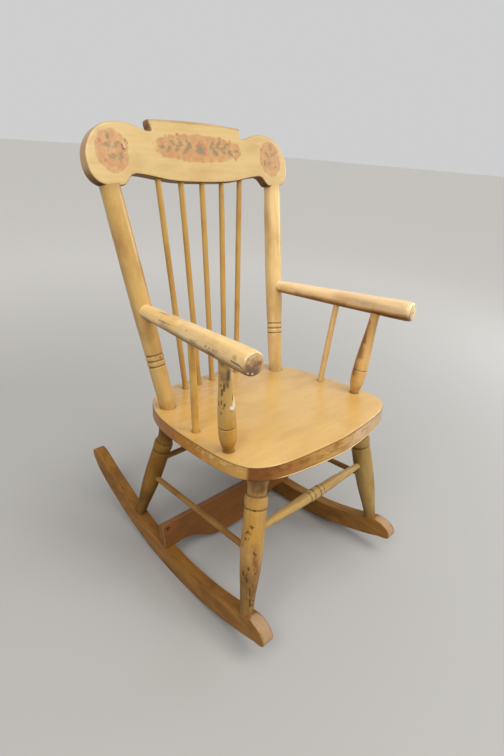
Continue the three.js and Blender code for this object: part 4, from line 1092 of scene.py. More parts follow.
    def shape_surface(self, gloss, figure, rubbed, chipped, soiling_and_shade):
        """Roughness and relief: duller and lower where the lacquer is gone."""
        dull = self.step(self.blotch, 0.3, 0.7, gloss, gloss + 0.14)
        for share, amount in ((rubbed, 0.22), (chipped, 0.3), (soiling_and_shade, 0.25)):
            dull = self.sum(dull, self.times(share, amount))
        self.give("Roughness", dull)
        relief = self.bump(self.fine, 0.13 * figure, 0.0004)
        relief = self.bump(self.times(self.streak, -1.0), 0.1 * figure, 0.0012, relief)
        lost = self.sum(self.times(rubbed, -0.6), self.times(chipped, -1.0))
        self.give("Normal", self.bump(lost, 0.5, 0.0006, relief))

    def polish(self, coat, walls_too):
        """A clear coat that fades out underneath, or a dull surface without one."""
        self.give("Coat Roughness", COAT_ROUGHNESS)
        if not coat:
            self.give("Specular IOR Level", SHINE_UNCOATED)
            return
        polished = self.step(self.mark("under"), 0.5, 0.0)
        if not walls_too:
            polished = self.times(polished, self.step(self.mark("wall"), 0.8, 0.2))
        self.give("Coat Weight", self.times(polished, coat))
        self.give("Specular IOR Level", self.step(polished, 0, 1, SHINE_UNDERNEATH, SHINE_COATED))


def wooden_finish(name, tones, gloss, coat, seed, figure=1.0, rubbing=1.0, arris=0.0, arris_tone=None,
                  top_shade=0.0, pale_tone=PALE_WOOD, extra=None):
    """Old lacquered wood: its figure first, then what has worn, chipped and soiled it, with painted shade and
    painted highlights laid on among them.
    """
    finish = OldWoodFinish(name, seed)
    colour = finish.figured(tones, figure)
    if extra:
        colour = extra(finish, colour)
    pale_patch = finish.mark("pale")
    # On the rockers, painted shade on the sawn edges that face up.
    if top_shade:
        colour = finish.shaded_on_top(colour, top_shade)
        pale_patch = finish.times(pale_patch, finish.step(finish.mark("wall"), 0.35, 0.75))
    colour = finish.thinned_and_shaded(colour)
    colour = finish.lined_arris(colour, arris, arris_tone or finish.worn)
    rubbed, thin = finish.rubbed_through(rubbing)
    colour = finish.rubbed_edges(colour, tones[0], rubbed, thin)
    colour = finish.pale_patches(colour, pale_patch, pale_tone)
    chipped = finish.chipped()
    colour = finish.blend(finish.times(chipped, 0.85), colour, CHIPPED_WOOD)
    # Soiling, and painted shade where pieces meet and under the seat.
    soiling_and_shade = finish.soiled_and_shaded()
    colour = finish.blend(soiling_and_shade, colour, SOILING_AND_SHADE)
    colour = finish.white_spots(colour)
    # Painted shade: every face that looks down is darkened.
    shaded = finish.step(finish.mark("under"), 0.0, 0.75, 0, 0.9)
    colour = finish.blend(shaded, colour, UNDERSIDE_SHADE, "MULTIPLY")
    finish.give("Base Color", colour)
    finish.shape_surface(gloss, figure, rubbed, chipped, soiling_and_shade)
    finish.polish(coat, walls_too=extra is not seat_edge)
    return finish.material


def linear(colour):
    """A colour property's value as a plain tuple."""
    return tuple(colour)[:3]


# The stencilled sprays on the crest rail, drawn in millimetres on its front face: x across it from the
# middle, and the height up the board. A ground is its middle and its half width and height, a stem its
# two ends, a leaf its base, tip and half width, and a bud its middle and radius. Stems, leaves and buds
# lie alike on both sides.
GROUNDS = (
    (0.0, 57.0, 92.0, 21.0), (-163.0, 47.0, 27.0, 30.0), (163.0, 47.0, 27.0, 30.0),
)
CENTRE_FLOWER = (0.0, 56.0)
FLOWER_REACH = (14, 12)
FLOWER_PETALS = 8
FLOWER_TURN = 0.2
PETAL_HALF_WIDTH = 4.0
HEART_RADIUS = 5.0
STEM_HALF_WIDTH = 0.8
STEMS = (
    ((12, 54), (30, 60)), ((30, 60), (52, 60)), ((52, 60), (76, 55)),
    ((150, 30), (160, 44)), ((160, 44), (166, 62)),
)
LEAVES = (
    ((18, 57), (30, 71), 3.6), ((24, 58), (38, 47), 3.6), ((34, 60), (47, 72), 3.6),
    ((41, 60), (55, 50), 3.4), ((51, 60), (64, 69), 3.2), ((58, 59), (71, 47), 3.2),
    ((70, 56), (86, 57), 3.0), ((154, 36), (143, 48), 3.6), ((157, 40), (172, 40), 3.6),
    ((162, 50), (149, 60), 3.4), ((163, 54), (178, 55), 3.4), ((166, 61), (168, 75), 3.4),
)
BUDS = ((44, 76, 2.6), (67, 73, 2.4), (75, 43, 2.4), (180, 60, 2.6), (141, 62, 2.4), (176, 34, 2.4))
# Paint stops this far behind the board's front face, in metres. Past that, every distance grows by
# NO_PAINT millimetres, which keeps all the colours off.
PAINT_REACH = 0.0012
NO_PAINT = 50.0
CREST_EDGE_SHADE = (0.40, 0.25, 0.15)


def leaf_distance(points, base, tip, half_width):
    """Millimetres from a leaf's outline, less than nothing inside it."""
    a, d = np.array(base, float), np.array(tip, float) - np.array(base, float)
    reach = float(np.hypot(*d))
    along = (points - a) @ (d / reach)
    across = np.abs((points - a) @ np.array([-d[1], d[0]]) / reach)
    t = np.clip(along / reach, 0, 1)
    past = np.maximum(np.maximum(-along, along - reach), 0)
    beside = across - half_width * np.sin(math.pi * t ** 0.8)
    return np.hypot(np.maximum(beside, 0), past) + np.minimum(beside, 0)


def stem_distance(points, start, end):
    """Millimetres from a stem's outline, less than nothing inside it."""
    a, d = np.array(start, float), np.array(end, float) - np.array(start, float)
    t = np.clip(((points - a) @ d) / (d @ d), 0, 1)
    return np.linalg.norm(points - a - t[:, None] * d, axis=1) - STEM_HALF_WIDTH


def stencil_marks(piece):
    """Draws the sprays as distances to their outlines, for the crest's finish to fill and wear away."""
    mesh = piece.data
    points = corner_places(mesh) - np.array(crest_point(0, 0, 0) + SHIFT)
    rise, back = math.cos(CREST_RAKE), math.sin(CREST_RAKE)
    height = points[:, 1] * back + points[:, 2] * rise
    behind = points[:, 1] * rise - points[:, 2] * back
    flat = np.stack([points[:, 0], height], axis=1) * 1000
    one_side = np.stack([np.abs(flat[:, 0]), flat[:, 1]], axis=1)
    hidden = np.where(behind > PAINT_REACH, NO_PAINT, 0.0)
    ground = np.min([
        (np.hypot((flat[:, 0] - x) / a, (flat[:, 1] - y) / b) - 1) * b for x, y, a, b in GROUNDS
    ], axis=0)
    leaves = [leaf_distance(one_side, *leaf) for leaf in LEAVES]
    leaves += [stem_distance(one_side, *stem) for stem in STEMS]
    x, y = CENTRE_FLOWER
    petals = []
    for i in range(FLOWER_PETALS):
        angle = math.tau * i / FLOWER_PETALS + FLOWER_TURN
        tip = (x + FLOWER_REACH[0] * math.cos(angle), y + FLOWER_REACH[1] * math.sin(angle))
        petals.append(leaf_distance(flat, CENTRE_FLOWER, tip, PETAL_HALF_WIDTH))
    heart = np.hypot(flat[:, 0] - x, flat[:, 1] - y) - HEART_RADIUS
    buds = [np.hypot(one_side[:, 0] - across, one_side[:, 1] - up) - radius for across, up, radius in BUDS]
    set_mark(mesh, "ground", ground + hidden)
    set_mark(mesh, "leaf", np.min(leaves, axis=0) + hidden)
    set_mark(mesh, "bloom", np.min(petals + buds, axis=0) + hidden)
    set_mark(mesh, "heart", heart + hidden)


def stencilled(finish, colour):
    """Lays the worn stencil colours over the lacquer, and painted shade on the rail's sawn edges."""
    c = colours()
    wander = finish.clouds(finish.grain(1, 1), 95, 4, 0.6)
    speckle = finish.clouds(finish.grain(1, 0.8), 330, 4, 0.65)
    wavering = finish.times(finish.sum(wander, 0.5, "SUBTRACT"), 9.0)
    worn = finish.step(finish.sum(wander, finish.times(speckle, 0.5)), 0.6, 0.95, 1.0, 0.45)
    # Each layer's mark, tone, strength and the share by which its outline wavers.
    layers = (
        ("ground", linear(c.stencil_ground), 0.86, 0.9), ("leaf", linear(c.stencil_leaf), 0.8, 0.22),
        ("bloom", linear(c.stencil_bloom), 0.75, 0.2), ("heart", linear(c.stencil_heart), 0.85, 0.2),
    )
    for name, tone_here, strength, stray in layers:
        away = finish.sum(finish.mark(name), finish.times(wavering, stray))
        filled = finish.times(finish.step(away, 0.9, -0.9), finish.times(worn, strength))
        colour = finish.blend(filled, colour, tone_here)
    # Painted shade: the sawn edges all round the rail are darkened.
    shaded_walls = finish.times(finish.step(finish.mark("wall"), 0.2, 0.9), 0.6)
    return finish.blend(shaded_walls, colour, CREST_EDGE_SHADE)


# The tones of the seat's edge, each at its place in degrees from the middle of the front (less than 0 on the
# sitter's right). They change from one stretch of the edge to the next, partly in the wood's own tone and
# partly as painted light and shade: darker on the side that faces the sitter's right, lighter in front.
SEAT_EDGE_TONES = (
    (-180, (0.45, 0.24, 0.10)), (-119, (0.41, 0.19, 0.07)), (-100, (0.38, 0.165, 0.045)),
    (-98.5, (0.46, 0.19, 0.027)), (-78, (0.49, 0.22, 0.036)), (-75, (0.60, 0.32, 0.08)),
    (-53.5, (0.61, 0.36, 0.105)), (-52.8, (0.23, 0.088, 0.025)), (-45, (0.235, 0.09, 0.023)),
    (-39, (0.33, 0.15, 0.038)), (-30, (0.35, 0.17, 0.045)), (-18, (0.46, 0.27, 0.08)),
    (0, (0.51, 0.32, 0.12)), (16, (0.58, 0.41, 0.24)), (40, (0.53, 0.375, 0.22)),
    (180, (0.45, 0.24, 0.10)),
)
# Streaks, mottling and brown scuffs multiply the edge's tone, and the rest covers it.
EDGE_STREAK = (0.7, 0.6, 0.5)
EDGE_MOTTLE = (0.78, 0.66, 0.5)
EDGE_SCUFF = (0.52, 0.36, 0.22)
EDGE_PALE_SCUFF = (0.80, 0.60, 0.32)
EDGE_UPPER_LINE = (0.11, 0.052, 0.018)
EDGE_LOWER_LINE = (0.16, 0.08, 0.03)
EDGE_LOWER_ARRIS = (0.92, 0.66, 0.34)
SHADE_ROUND_FEET = (0.16, 0.085, 0.03)


def seat_turn(finish):
    """How far round the seat a point lies, in degrees from the middle of its front."""
    apart = finish.tree.nodes.new("ShaderNodeSeparateXYZ")
    finish.feed(apart.inputs[0], finish.place())
    middle_y = SEAT_FRONT_Y + SEAT_DEPTH / 2 + SHIFT.y
    ahead = finish.sum(middle_y, apart.outputs["Y"], "SUBTRACT")
    return finish.times(finish.sum(apart.outputs["X"], ahead, "ARCTAN2"), 180 / math.pi)


def seat_feet():
    """The middle and the radius of every foot that stands on the seat."""
    size = sizes()
    post, rod = size.post_radius * POST_TURNING[0][1], size.arm_spindle_radius
    arm_post = size.arm_post_radius * ARM_POST_TURNING[0][1]
    lines = ((post_line(), post), (arm_post_line(), arm_post), (arm_spindle_line(), rod))
    feet = [(mirrored(line, sign)[0] + SHIFT, radius) for line, radius in lines for sign in (1, -1)]
    return feet + [(spindle_line(step)[0] + SHIFT, size.spindle_radius) for step in SPINDLE_STEPS]


def edge_tones(finish, turn):
    """The tones of the seat's edge, running into one another round the seat."""
    ramp = finish.tree.nodes.new("ShaderNodeValToRGB")
    finish.feed(ramp.inputs["Fac"], finish.sum(finish.times(turn, 1 / 360), 0.5))
    stops = ramp.color_ramp.elements
    while len(stops) < len(SEAT_EDGE_TONES):
        stops.new(0.5)
    # Every stop has its place before any gets its tone, in case the ramp puts them in another order.
    for stop, (degrees, _) in zip(stops, SEAT_EDGE_TONES):
        stop.position = degrees / 360 + 0.5
    for stop, (_, tone_here) in zip(stops, SEAT_EDGE_TONES):
        stop.color = (*tone_here, 1)
    return ramp.outputs["Color"]


def scuffed_edge(finish, wood, turn, depth):
    """The edge's streaks, its brown scuffs in front and its pale ones on the sitter's right."""
    thick = sizes().seat_thickness
    across = finish.clouds(finish.grain(1, 0.05), 330, 4, 0.6)
    mottle = finish.clouds(finish.grain(1, 0.6), 75, 4, 0.6)
    scuffs = finish.clouds(finish.grain(1, 0.35), 140, 5, 0.65)
    wood = finish.blend(finish.step(across, 0.4, 0.7, 0, 0.5), wood, EDGE_STREAK, "MULTIPLY")
    wood = finish.blend(finish.step(mottle, 0.45, 0.7, 0, 0.5), wood, EDGE_MOTTLE, "MULTIPLY")
    front = finish.band(turn, (-50, -44), (34, 14))
    front = finish.times(front, finish.step(depth, thick * 0.85, thick * 0.4))
    brown = finish.times(finish.step(scuffs, 0.49, 0.57), front)
    wood = finish.blend(finish.times(brown, 0.55), wood, EDGE_SCUFF, "MULTIPLY")
    side = finish.band(turn, (-92, -80), (-53, -56))
    side = finish.times(side, finish.step(depth, thick * 0.8, thick * 0.3))
    pale = finish.times(finish.step(scuffs, 0.47, 0.40), side)
    return finish.blend(finish.times(pale, 0.55), wood, EDGE_PALE_SCUFF)


def lined_edge(finish, colour, turn, depth):
    """A dark line under the upper arris and, in front and on the left, one over a pale lower arris."""
    thick = sizes().seat_thickness
    upper = finish.band(depth, (0.0004, 0.0013), (0.0032, 0.0020))
    colour = finish.blend(finish.times(upper, 0.66), colour, EDGE_UPPER_LINE)
    front_and_left = finish.band(turn, (-44, -36), (120, 80))
    lower = finish.band(depth, (thick - 0.0052, thick - 0.0044), (thick - 0.0030, thick - 0.0038))
    colour = finish.blend(finish.times(finish.times(lower, front_and_left), 0.5), colour, EDGE_LOWER_LINE)
    arris = finish.band(depth, (thick - 0.0036, thick - 0.0028), (thick - 0.0002, thick - 0.0008))
    return finish.blend(finish.times(finish.times(arris, front_and_left), 0.8), colour, EDGE_LOWER_ARRIS)


def shaded_feet(finish, colour):
    """Painted shade on the seat, close round every foot that stands on it."""
    place = finish.place()
    nearest = None
    for middle, radius in seat_feet():
        gap = finish.tree.nodes.new("ShaderNodeVectorMath")
        gap.operation = "DISTANCE"
        finish.feed(gap.inputs[0], place)
        gap.inputs[1].default_value = middle
        away = finish.sum(gap.outputs["Value"], radius, "SUBTRACT")
        nearest = away if nearest is None else finish.sum(nearest, away, "MINIMUM")
    return finish.blend(finish.step(nearest, 0.0040, 0.0002, 0, 0.7), colour, SHADE_ROUND_FEET)


def seat_edge(finish, colour):
    """The seat's edge in its tones, partly painted light and shade, with its scuffs and lines, and painted
    shade round the feet.
    """
    turn, depth = seat_turn(finish), finish.mark("depth")
    wood = scuffed_edge(finish, edge_tones(finish, turn), turn, depth)
    colour = finish.blend(finish.step(depth, 0.0012, 0.0022), colour, wood)
    return shaded_feet(finish, lined_edge(finish, colour, turn, depth))


def steel_finish():
    """Old dull steel, darkened and rusted in spots."""
    finish = Finish("old_steel")
    place = finish.place()
    spots = finish.clouds(place, 420, 4, 0.6)
    scuffs = finish.clouds(place, 1500, 3, 0.5)
    steel = linear(colours().steel)
    colour = finish.blend(finish.step(spots, 0.45, 0.62), steel, linear(colours().rust))
    colour = finish.blend(finish.step(scuffs, 0.5, 0.7, 0, 0.5), colour, dimmed(steel, 0.4))
    finish.give("Base Color", colour)
    finish.give("Metallic", 1.0)
    finish.give("Roughness", finish.step(spots, 0.35, 0.65, 0.42, 0.8))
    finish.give("Normal", finish.bump(spots, 0.35, 0.0002))
    return finish.material


def floor_finish(tone_here):
    """The studio floor: one tone with a faint unevenness, paler further from the chair."""
    finish = Finish("studio_floor")
    place = finish.place()
    drift = finish.clouds(place, 1.6, 2)
    away = finish.tree.nodes.new("ShaderNodeVectorMath")
    away.operation = "LENGTH"
    finish.feed(away.inputs[0], place)
    colour = finish.blend(drift, tone_here, dimmed(tone_here, 0.97))
    far = finish.step(away.outputs["Value"], 0.35, 2.6)
    far_tone = tuple(min(0.9, v * 1.6) for v in tone_here)
    finish.give("Base Color", finish.blend(far, colour, far_tone))
    finish.give("Roughness", FLOOR_ROUGHNESS)
    return finish.material


def toned(tones, share):
    """The same tones with their red, green and blue each lighter or darker."""
    return [tuple(min(0.95, v * k) for v, k in zip(tone_here, share)) for tone_here in tones]


# The finish of each piece or group of pieces, found by the start of its node's name: its base (lacquer, stain
# or board), the shares of that base's red, green and blue, the roughness, the coat, the seed and further
# options. The shares are partly each piece's own tone and partly painted light and shade: the legs and the
# plain stretchers are darkened as painted shade under the seat, the back post, arm, arm post and arm spindle
# on the sitter's left are paler and bluer as painted light, and the arms are lighter as a painted sheen.
FINISHES = {
    "seat": ("lacquer", (0.90, 0.90, 0.78), 0.26, 0.5, 3,
             {"figure": 0.42, "rubbing": 0.0, "extra": seat_edge}),
    "crest_rail": ("lacquer", (0.84, 0.95, 1.10), 0.34, 0.3, 5,
                   {"figure": 0.55, "rubbing": 0.35, "arris": 0.45, "extra": stencilled}),
    "back_post_left": ("lacquer", (1.04, 1.16, 1.32), 0.32, 0.4, 0, {}),
    "back_post_right": ("lacquer", (0.78, 0.77, 0.64), 0.32, 0.3, 4, {}),
    "back_spindle": ("lacquer", (0.69, 0.65, 0.44), 0.34, 0.3, 1, {}),
    "arm_post_left": ("lacquer", (0.93, 0.92, 0.86), 0.32, 0.3, 6, {}),
    "arm_post_right": ("lacquer", (0.74, 0.70, 0.44), 0.34, 0.3, 8, {}),
    "arm_spindle_left": ("lacquer", (1.00, 1.05, 1.25), 0.34, 0.3, 13, {}),
    "arm_spindle_right": ("lacquer", (0.93, 0.88, 0.50), 0.34, 0.3, 14, {}),
    "arm_left": ("lacquer", (1.27, 1.42, 2.05), 0.26, 0.7, 15, {"figure": 0.7}),
    "arm_right": ("lacquer", (1.22, 1.36, 1.65), 0.26, 0.7, 2, {"figure": 0.7}),
    "leg_front_left": ("lacquer", (0.54, 0.56, 0.49), 0.5, 0.0, 16, {}),
    "leg_front_right": ("lacquer", (0.66, 0.64, 0.58), 0.52, 0.0, 11, {}),
    "leg_rear": ("lacquer", (0.38, 0.31, 0.155), 0.5, 0.0, 12, {}),
    "stretcher_front": ("lacquer", (0.64, 0.64, 0.50), 0.34, 0.3, 17, {}),
    "stretcher": ("lacquer", (0.45, 0.37, 0.28), 0.48, 0.0, 18, {}),
    "rocker": ("stain", (0.86, 0.77, 0.42), 0.42, 0.0, 7,
               {"rubbing": 0.4, "top_shade": 0.28, "pale_tone": (0.44, 0.30, 0.175)}),
    "cross_board": ("board", (0.95, 0.86, 0.52), 0.45, 0.0, 9,
                    {"figure": 0.55, "rubbing": 0.3, "arris": 0.75, "arris_tone": (0.36, 0.22, 0.13)}),
}


def finish_for(node):
    """The finish of a piece that stands for a node, made the first time that it is asked for."""
    key = next(key for key in FINISHES if node.startswith(key))
    base, share, gloss, coat, seed, options = FINISHES[key]
    name = f"{key}_{'lacquer' if base == 'lacquer' else 'stain'}"
    found = bpy.data.materials.get(name)
    if found:
        return found
    c = colours()
    tones = {
        "lacquer": (c.lacquer_light, c.lacquer, c.lacquer_deep),
        "stain": (c.stain_light, c.stain, c.stain_deep),
        "board": (c.board_light, c.board, c.board_deep),
    }[base]
    return wooden_finish(name, toned([linear(v) for v in tones], share), gloss, coat, seed, **options)


def dress(piece, node):
    """Gives a piece its finish and its marks of use, and lets it stand for its CAD node."""
    paint_marks(piece)
    piece.data.materials.append(finish_for(node))
    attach(piece, "root")
    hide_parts(node)


# Sizes and colours

def sizes():
    """The chair's sizes as they are set in the scene."""
    return bpy.context.scene.chair_sizes


def colours():
    """The chair's colours as they are set in the scene."""
    return bpy.context.scene.chair_colours


def length(name, description, default):
    """A length in metres that can be set in the sidebar."""
    return FloatProperty(name=name, description=description, default=default, unit="LENGTH",
                         subtype="DISTANCE", min=0.0, precision=4)


def tone(name, description, default):
    """A colour that can be set in the sidebar."""
    return FloatVectorProperty(name=name, description=description, default=default, subtype="COLOR",
                               size=3, min=0.0, max=1.0)


class ChairSizes(bpy.types.PropertyGroup):
    """The chair's main sizes"""

    seat_height: length("Seat height", "Height of the seat's top over the floor", 0.3)
    seat_thickness: length("Seat thickness", "Thickness of the seat board", 0.023)
    seat_rounding: length("Seat edge rounding", "Radius of the seat's worn upper and lower edges", 0.0024)
    crest_thickness: length("Crest thickness", "Thickness of the crest rail", 0.018)
    crest_rounding: length("Crest edge rounding", "Radius of the crest rail's edges", 0.0018)
    post_radius: length("Back post radius", "Largest radius of the back posts", 0.0159)
    spindle_radius: length("Back spindle radius", "Radius of the five back spindles", 0.0048)
    arm_radius: length("Arm radius", "Largest radius of the arms", 0.0163)
    arm_post_radius: length("Arm post radius", "Largest radius of the posts under the arms", 0.0129)
    arm_spindle_radius: length("Arm spindle radius", "Radius of the spindles under the arms", 0.0054)
    front_leg_radius: length("Front leg radius", "Radius of the front legs' rings", 0.0175)
    rear_leg_radius: length("Rear leg radius", "Radius of the rear legs' rings", 0.0162)
    front_stretcher_radius: length(
        "Front stretcher radius", "Radius of the front stretcher's rings", 0.0099)
    rear_stretcher_radius: length("Rear stretcher radius", "Radius of the rear stretcher", 0.005)
    side_stretcher_radius: length("Side stretcher radius", "Radius of the side stretchers", 0.0049)
    rocker_thickness: length("Rocker thickness", "Thickness of the sawn rockers", 0.022)
    rocker_rounding: length("Rocker edge rounding", "Radius of the rockers' edges", 0.0016)
    board_thickness: length("Cross board thickness", "Thickness of the cross board", 0.012)
    board_rounding: length("Cross board edge rounding", "Radius of the cross board's edges", 0.001)
    round_sides: IntProperty(
        name="Round sides", description="Facets round a turned piece", default=88, min=12)


class ChairColours(bpy.types.PropertyGroup):
    """The chair's colours"""

    lacquer_light: tone("Light lacquer", "Lightest tone of the lacquered wood", (0.78, 0.51, 0.205))
    lacquer: tone("Lacquer", "Middle tone of the lacquered wood", (0.70, 0.43, 0.145))
    lacquer_deep: tone("Deep lacquer", "Darkest streaks of the lacquered wood", (0.50, 0.26, 0.075))
    stain_light: tone("Light stain", "Lightest tone of the rockers", (0.44, 0.24, 0.10))
    stain: tone("Stain", "Middle tone of the rockers", (0.33, 0.165, 0.06))
    stain_deep: tone("Deep stain", "Darkest streaks of the rockers", (0.19, 0.085, 0.03))
    board_light: tone("Light board", "Lightest tone of the cross board", (0.30, 0.14, 0.06))
    board: tone("Board", "Middle tone of the cross board", (0.22, 0.095, 0.04))
    board_deep: tone("Deep board", "Darkest streaks of the cross board", (0.12, 0.05, 0.02))
    worn_wood: tone("Worn wood", "Brown wood where the lacquer is thin or gone", (0.25, 0.105, 0.033))
    stencil_ground: tone("Stencil ground", "Worn terracotta under the sprays", (0.49, 0.225, 0.095))
    stencil_leaf: tone("Stencil leaf", "Grey-green of the leaves", (0.20, 0.185, 0.095))
    stencil_bloom: tone("Stencil bloom", "Terracotta of the petals and buds", (0.38, 0.14, 0.08))
    stencil_heart: tone("Stencil heart", "Teal of the flower's heart", (0.12, 0.24, 0.16))
    steel: tone("Steel", "Heads of the screws and nails", (0.16, 0.14, 0.12))
    rust: tone("Rust", "Rust on the screws and nails", (0.12, 0.05, 0.025))
    floor: tone("Floor", "The studio floor", (0.42, 0.42, 0.415))
    fill: tone("Fill", "The dim light from all round", (0.27, 0.25, 0.225))
    backdrop: tone("Backdrop", "The pale backdrop behind the chair", (0.62, 0.62, 0.62))


# Pieces

SIDES = (("left", 1), ("right", -1))
# Facets round the thin rods, which need fewer than the stout turnings.
ROD_SIDES = 28
FRONT_STRETCHER_SIDES = 36
# How far a head or a foot runs on past the end of its line, where that isn't the usual 3 mm.
SPINDLE_HEAD_RUN = 0.006
UNDER_ARM_HEAD_RUN = -0.004
LEG_FOOT_RUN = 0.0045
# The spacing of the points that fill the faces of the sawn pieces, and of those along their outlines.
SEAT_FILL = 0.005
CREST_FILL = 0.0022
ROCKER_FILL = 0.006
BOARD_FILL = 0.006
CREST_OUTLINE_STEP = 0.004
ROCKER_OUTLINE_STEP = 0.005
BOARD_OUTLINE_STEP = 0.006
# Layers of faces through the seat and the crest rail, whose edges show more than those of the others.
THICK_LAYERS = 8


class CHAIR_OT_seat(bpy.types.Operator):
    """Build the seat: one flat board with a straight front and a round back"""

    bl_idname = "chair.seat"
    bl_label = "Seat"

    def execute(self, context):
        size = context.scene.chair_sizes
        half = scaled(SEAT_HALF_OUTLINE, SEAT_HALF_WIDTH, SEAT_DEPTH)
        outline = both_halves(spline([(x, SEAT_FRONT_Y + y) for x, y in half], 6))

        def place(x, y, under):
            across = max(0.0, 1 - (x / SEAT_HALF_WIDTH) ** 2)
            forward = max(0.0, y / SEAT_FRONT_Y)
            flare = SEAT_FRONT_FLARE * across * forward ** 2 * under / size.seat_thickness
            return seat_point(x, y - flare, under)

        def grain(x, y, under):
            return y, under, x

        piece = sawn(
            "seat_board", outline, size.seat_thickness, size.seat_rounding, place, grain, SEAT_FILL, 1,
            THICK_LAYERS,
        )
        dress(piece, "seat")
        return {"FINISHED"}


class CHAIR_OT_crest_rail(bpy.types.Operator):
    """Build the crest rail: a raised, rolled middle between two rounded lobes"""

    bl_idname = "chair.crest_rail"
    bl_label = "Crest rail"

    def execute(self, context):
        size = context.scene.chair_sizes

        def table(shares):
            return scaled(shares, CREST_HALF_WIDTH, CREST_HEIGHT)

        half = (
            table(CREST_RAISED)[:-1]
            + table(CREST_RAISED[-1:] + CREST_STEP)
            + spline(table(CREST_LOBE), 4) + table(CREST_EAR)
            + spline(table(CREST_UNDERSIDE), 4)
        )
        outline = both_halves(evenly(half, CREST_OUTLINE_STEP))
        foot = CREST_ROLL_FOOT * CREST_HEIGHT

        def place(x, y, behind):
            raised = max(0.0, (y - foot) / (CREST_HEIGHT - foot))
            turn = math.pi * CREST_ROLL_TURN * math.sqrt(max(0.0, behind / size.crest_thickness))
            return crest_point(x, y + CREST_ROLL_HEIGHT * raised * math.sin(turn), behind)

        def grain(x, y, behind):
            return y, behind, x

        piece = sawn(
            "crest_board", outline, size.crest_thickness, size.crest_rounding, place, grain, CREST_FILL, 2,
            THICK_LAYERS,
        )
        stencil_marks(piece)
        dress(piece, "crest_rail")
        return {"FINISHED"}


def turn_pair(name, node, line, turning, radius, seed, **options):
    """Turns a piece and its partner on the other side, each with its own hand-made strays."""
    for number, (side, sign) in enumerate(SIDES):
        piece = turned_between(
            f"{name}_{side}", mirrored(line, sign), turning, radius, sizes().round_sides, seed + number,
            **options,
        )
        dress(piece, f"{node}_{side}")


class CHAIR_OT_back_posts(bpy.types.Operator):
    """Build the two stout back posts with their turned rings"""

    bl_idname = "chair.back_posts"
    bl_label = "Back posts"

    def execute(self, context):
        radius = context.scene.chair_sizes.post_radius
        turn_pair("turned_back_post", "back_post", post_line(), POST_TURNING, radius, 10)
        return {"FINISHED"}


class CHAIR_OT_back_spindles(bpy.types.Operator):
    """Build the five thin back spindles"""

    bl_idname = "chair.back_spindles"
    bl_label = "Back spindles"

    def execute(self, context):
        radius = context.scene.chair_sizes.spindle_radius
        for i, step in enumerate(SPINDLE_STEPS):
            piece = turned_between(
                f"round_back_spindle_{i + 1}", spindle_line(step), PLAIN_ROD, radius, ROD_SIDES, 20 + i,
                head_run=SPINDLE_HEAD_RUN,
            )
            dress(piece, f"back_spindle_{i + 1}")
        return {"FINISHED"}


class CHAIR_OT_arms(bpy.types.Operator):
    """Build the two round arms, thin behind and thick and blunt in front"""

    bl_idname = "chair.arms"
    bl_label = "Arms"

    def execute(self, context):
        size = context.scene.chair_sizes
        for number, (side, sign) in enumerate(SIDES):
            start, end = mirrored(arm_line(), sign)
            stations = scaled(ARM_TURNING, (end - start).length, size.arm_radius)
            piece = turned(f"turned_arm_{side}", start, end - start, stations, size.round_sides, 30 + number)
            dress(piece, f"arm_{side}")
        return {"FINISHED"}


class CHAIR_OT_arm_posts(bpy.types.Operator):
    """Build the two turned posts under the arms"""

    bl_idname = "chair.arm_posts"
    bl_label = "Arm posts"

    def execute(self, context):
        radius = context.scene.chair_sizes.arm_post_radius
        turn_pair(
            "turned_arm_post", "arm_post", arm_post_line(), ARM_POST_TURNING, radius, 40,
            head_run=UNDER_ARM_HEAD_RUN,
        )
        return {"FINISHED"}


class CHAIR_OT_arm_spindles(bpy.types.Operator):
    """Build the two thin spindles under the arms"""

    bl_idname = "chair.arm_spindles"
    bl_label = "Arm spindles"

    def execute(self, context):
        radius = context.scene.chair_sizes.arm_spindle_radius
        turn_pair(
            "round_arm_spindle", "arm_spindle", arm_spindle_line(), PLAIN_ROD, radius, 50,
            head_run=UNDER_ARM_HEAD_RUN,
        )
        return {"FINISHED"}


class CHAIR_OT_front_legs(bpy.types.Operator):
    """Build the two turned front legs"""

    bl_idname = "chair.front_legs"
    bl_label = "Front legs"

    def execute(self, context):
        radius = context.scene.chair_sizes.front_leg_radius
        turn_pair(
            "turned_front_leg", "leg_front", front_leg_line(), FRONT_LEG_TURNING, radius, 60,
            foot_run=LEG_FOOT_RUN,
        )
        return {"FINISHED"}


class CHAIR_OT_rear_legs(bpy.types.Operator):
    """Build the two turned rear legs"""

    bl_idname = "chair.rear_legs"
    bl_label = "Rear legs"

    def execute(self, context):
        radius = context.scene.chair_sizes.rear_leg_radius
        turn_pair(
            "turned_rear_leg", "leg_rear", rear_leg_line(), REAR_LEG_TURNING, radius, 64,
            foot_run=LEG_FOOT_RUN,
        )
        return {"FINISHED"}


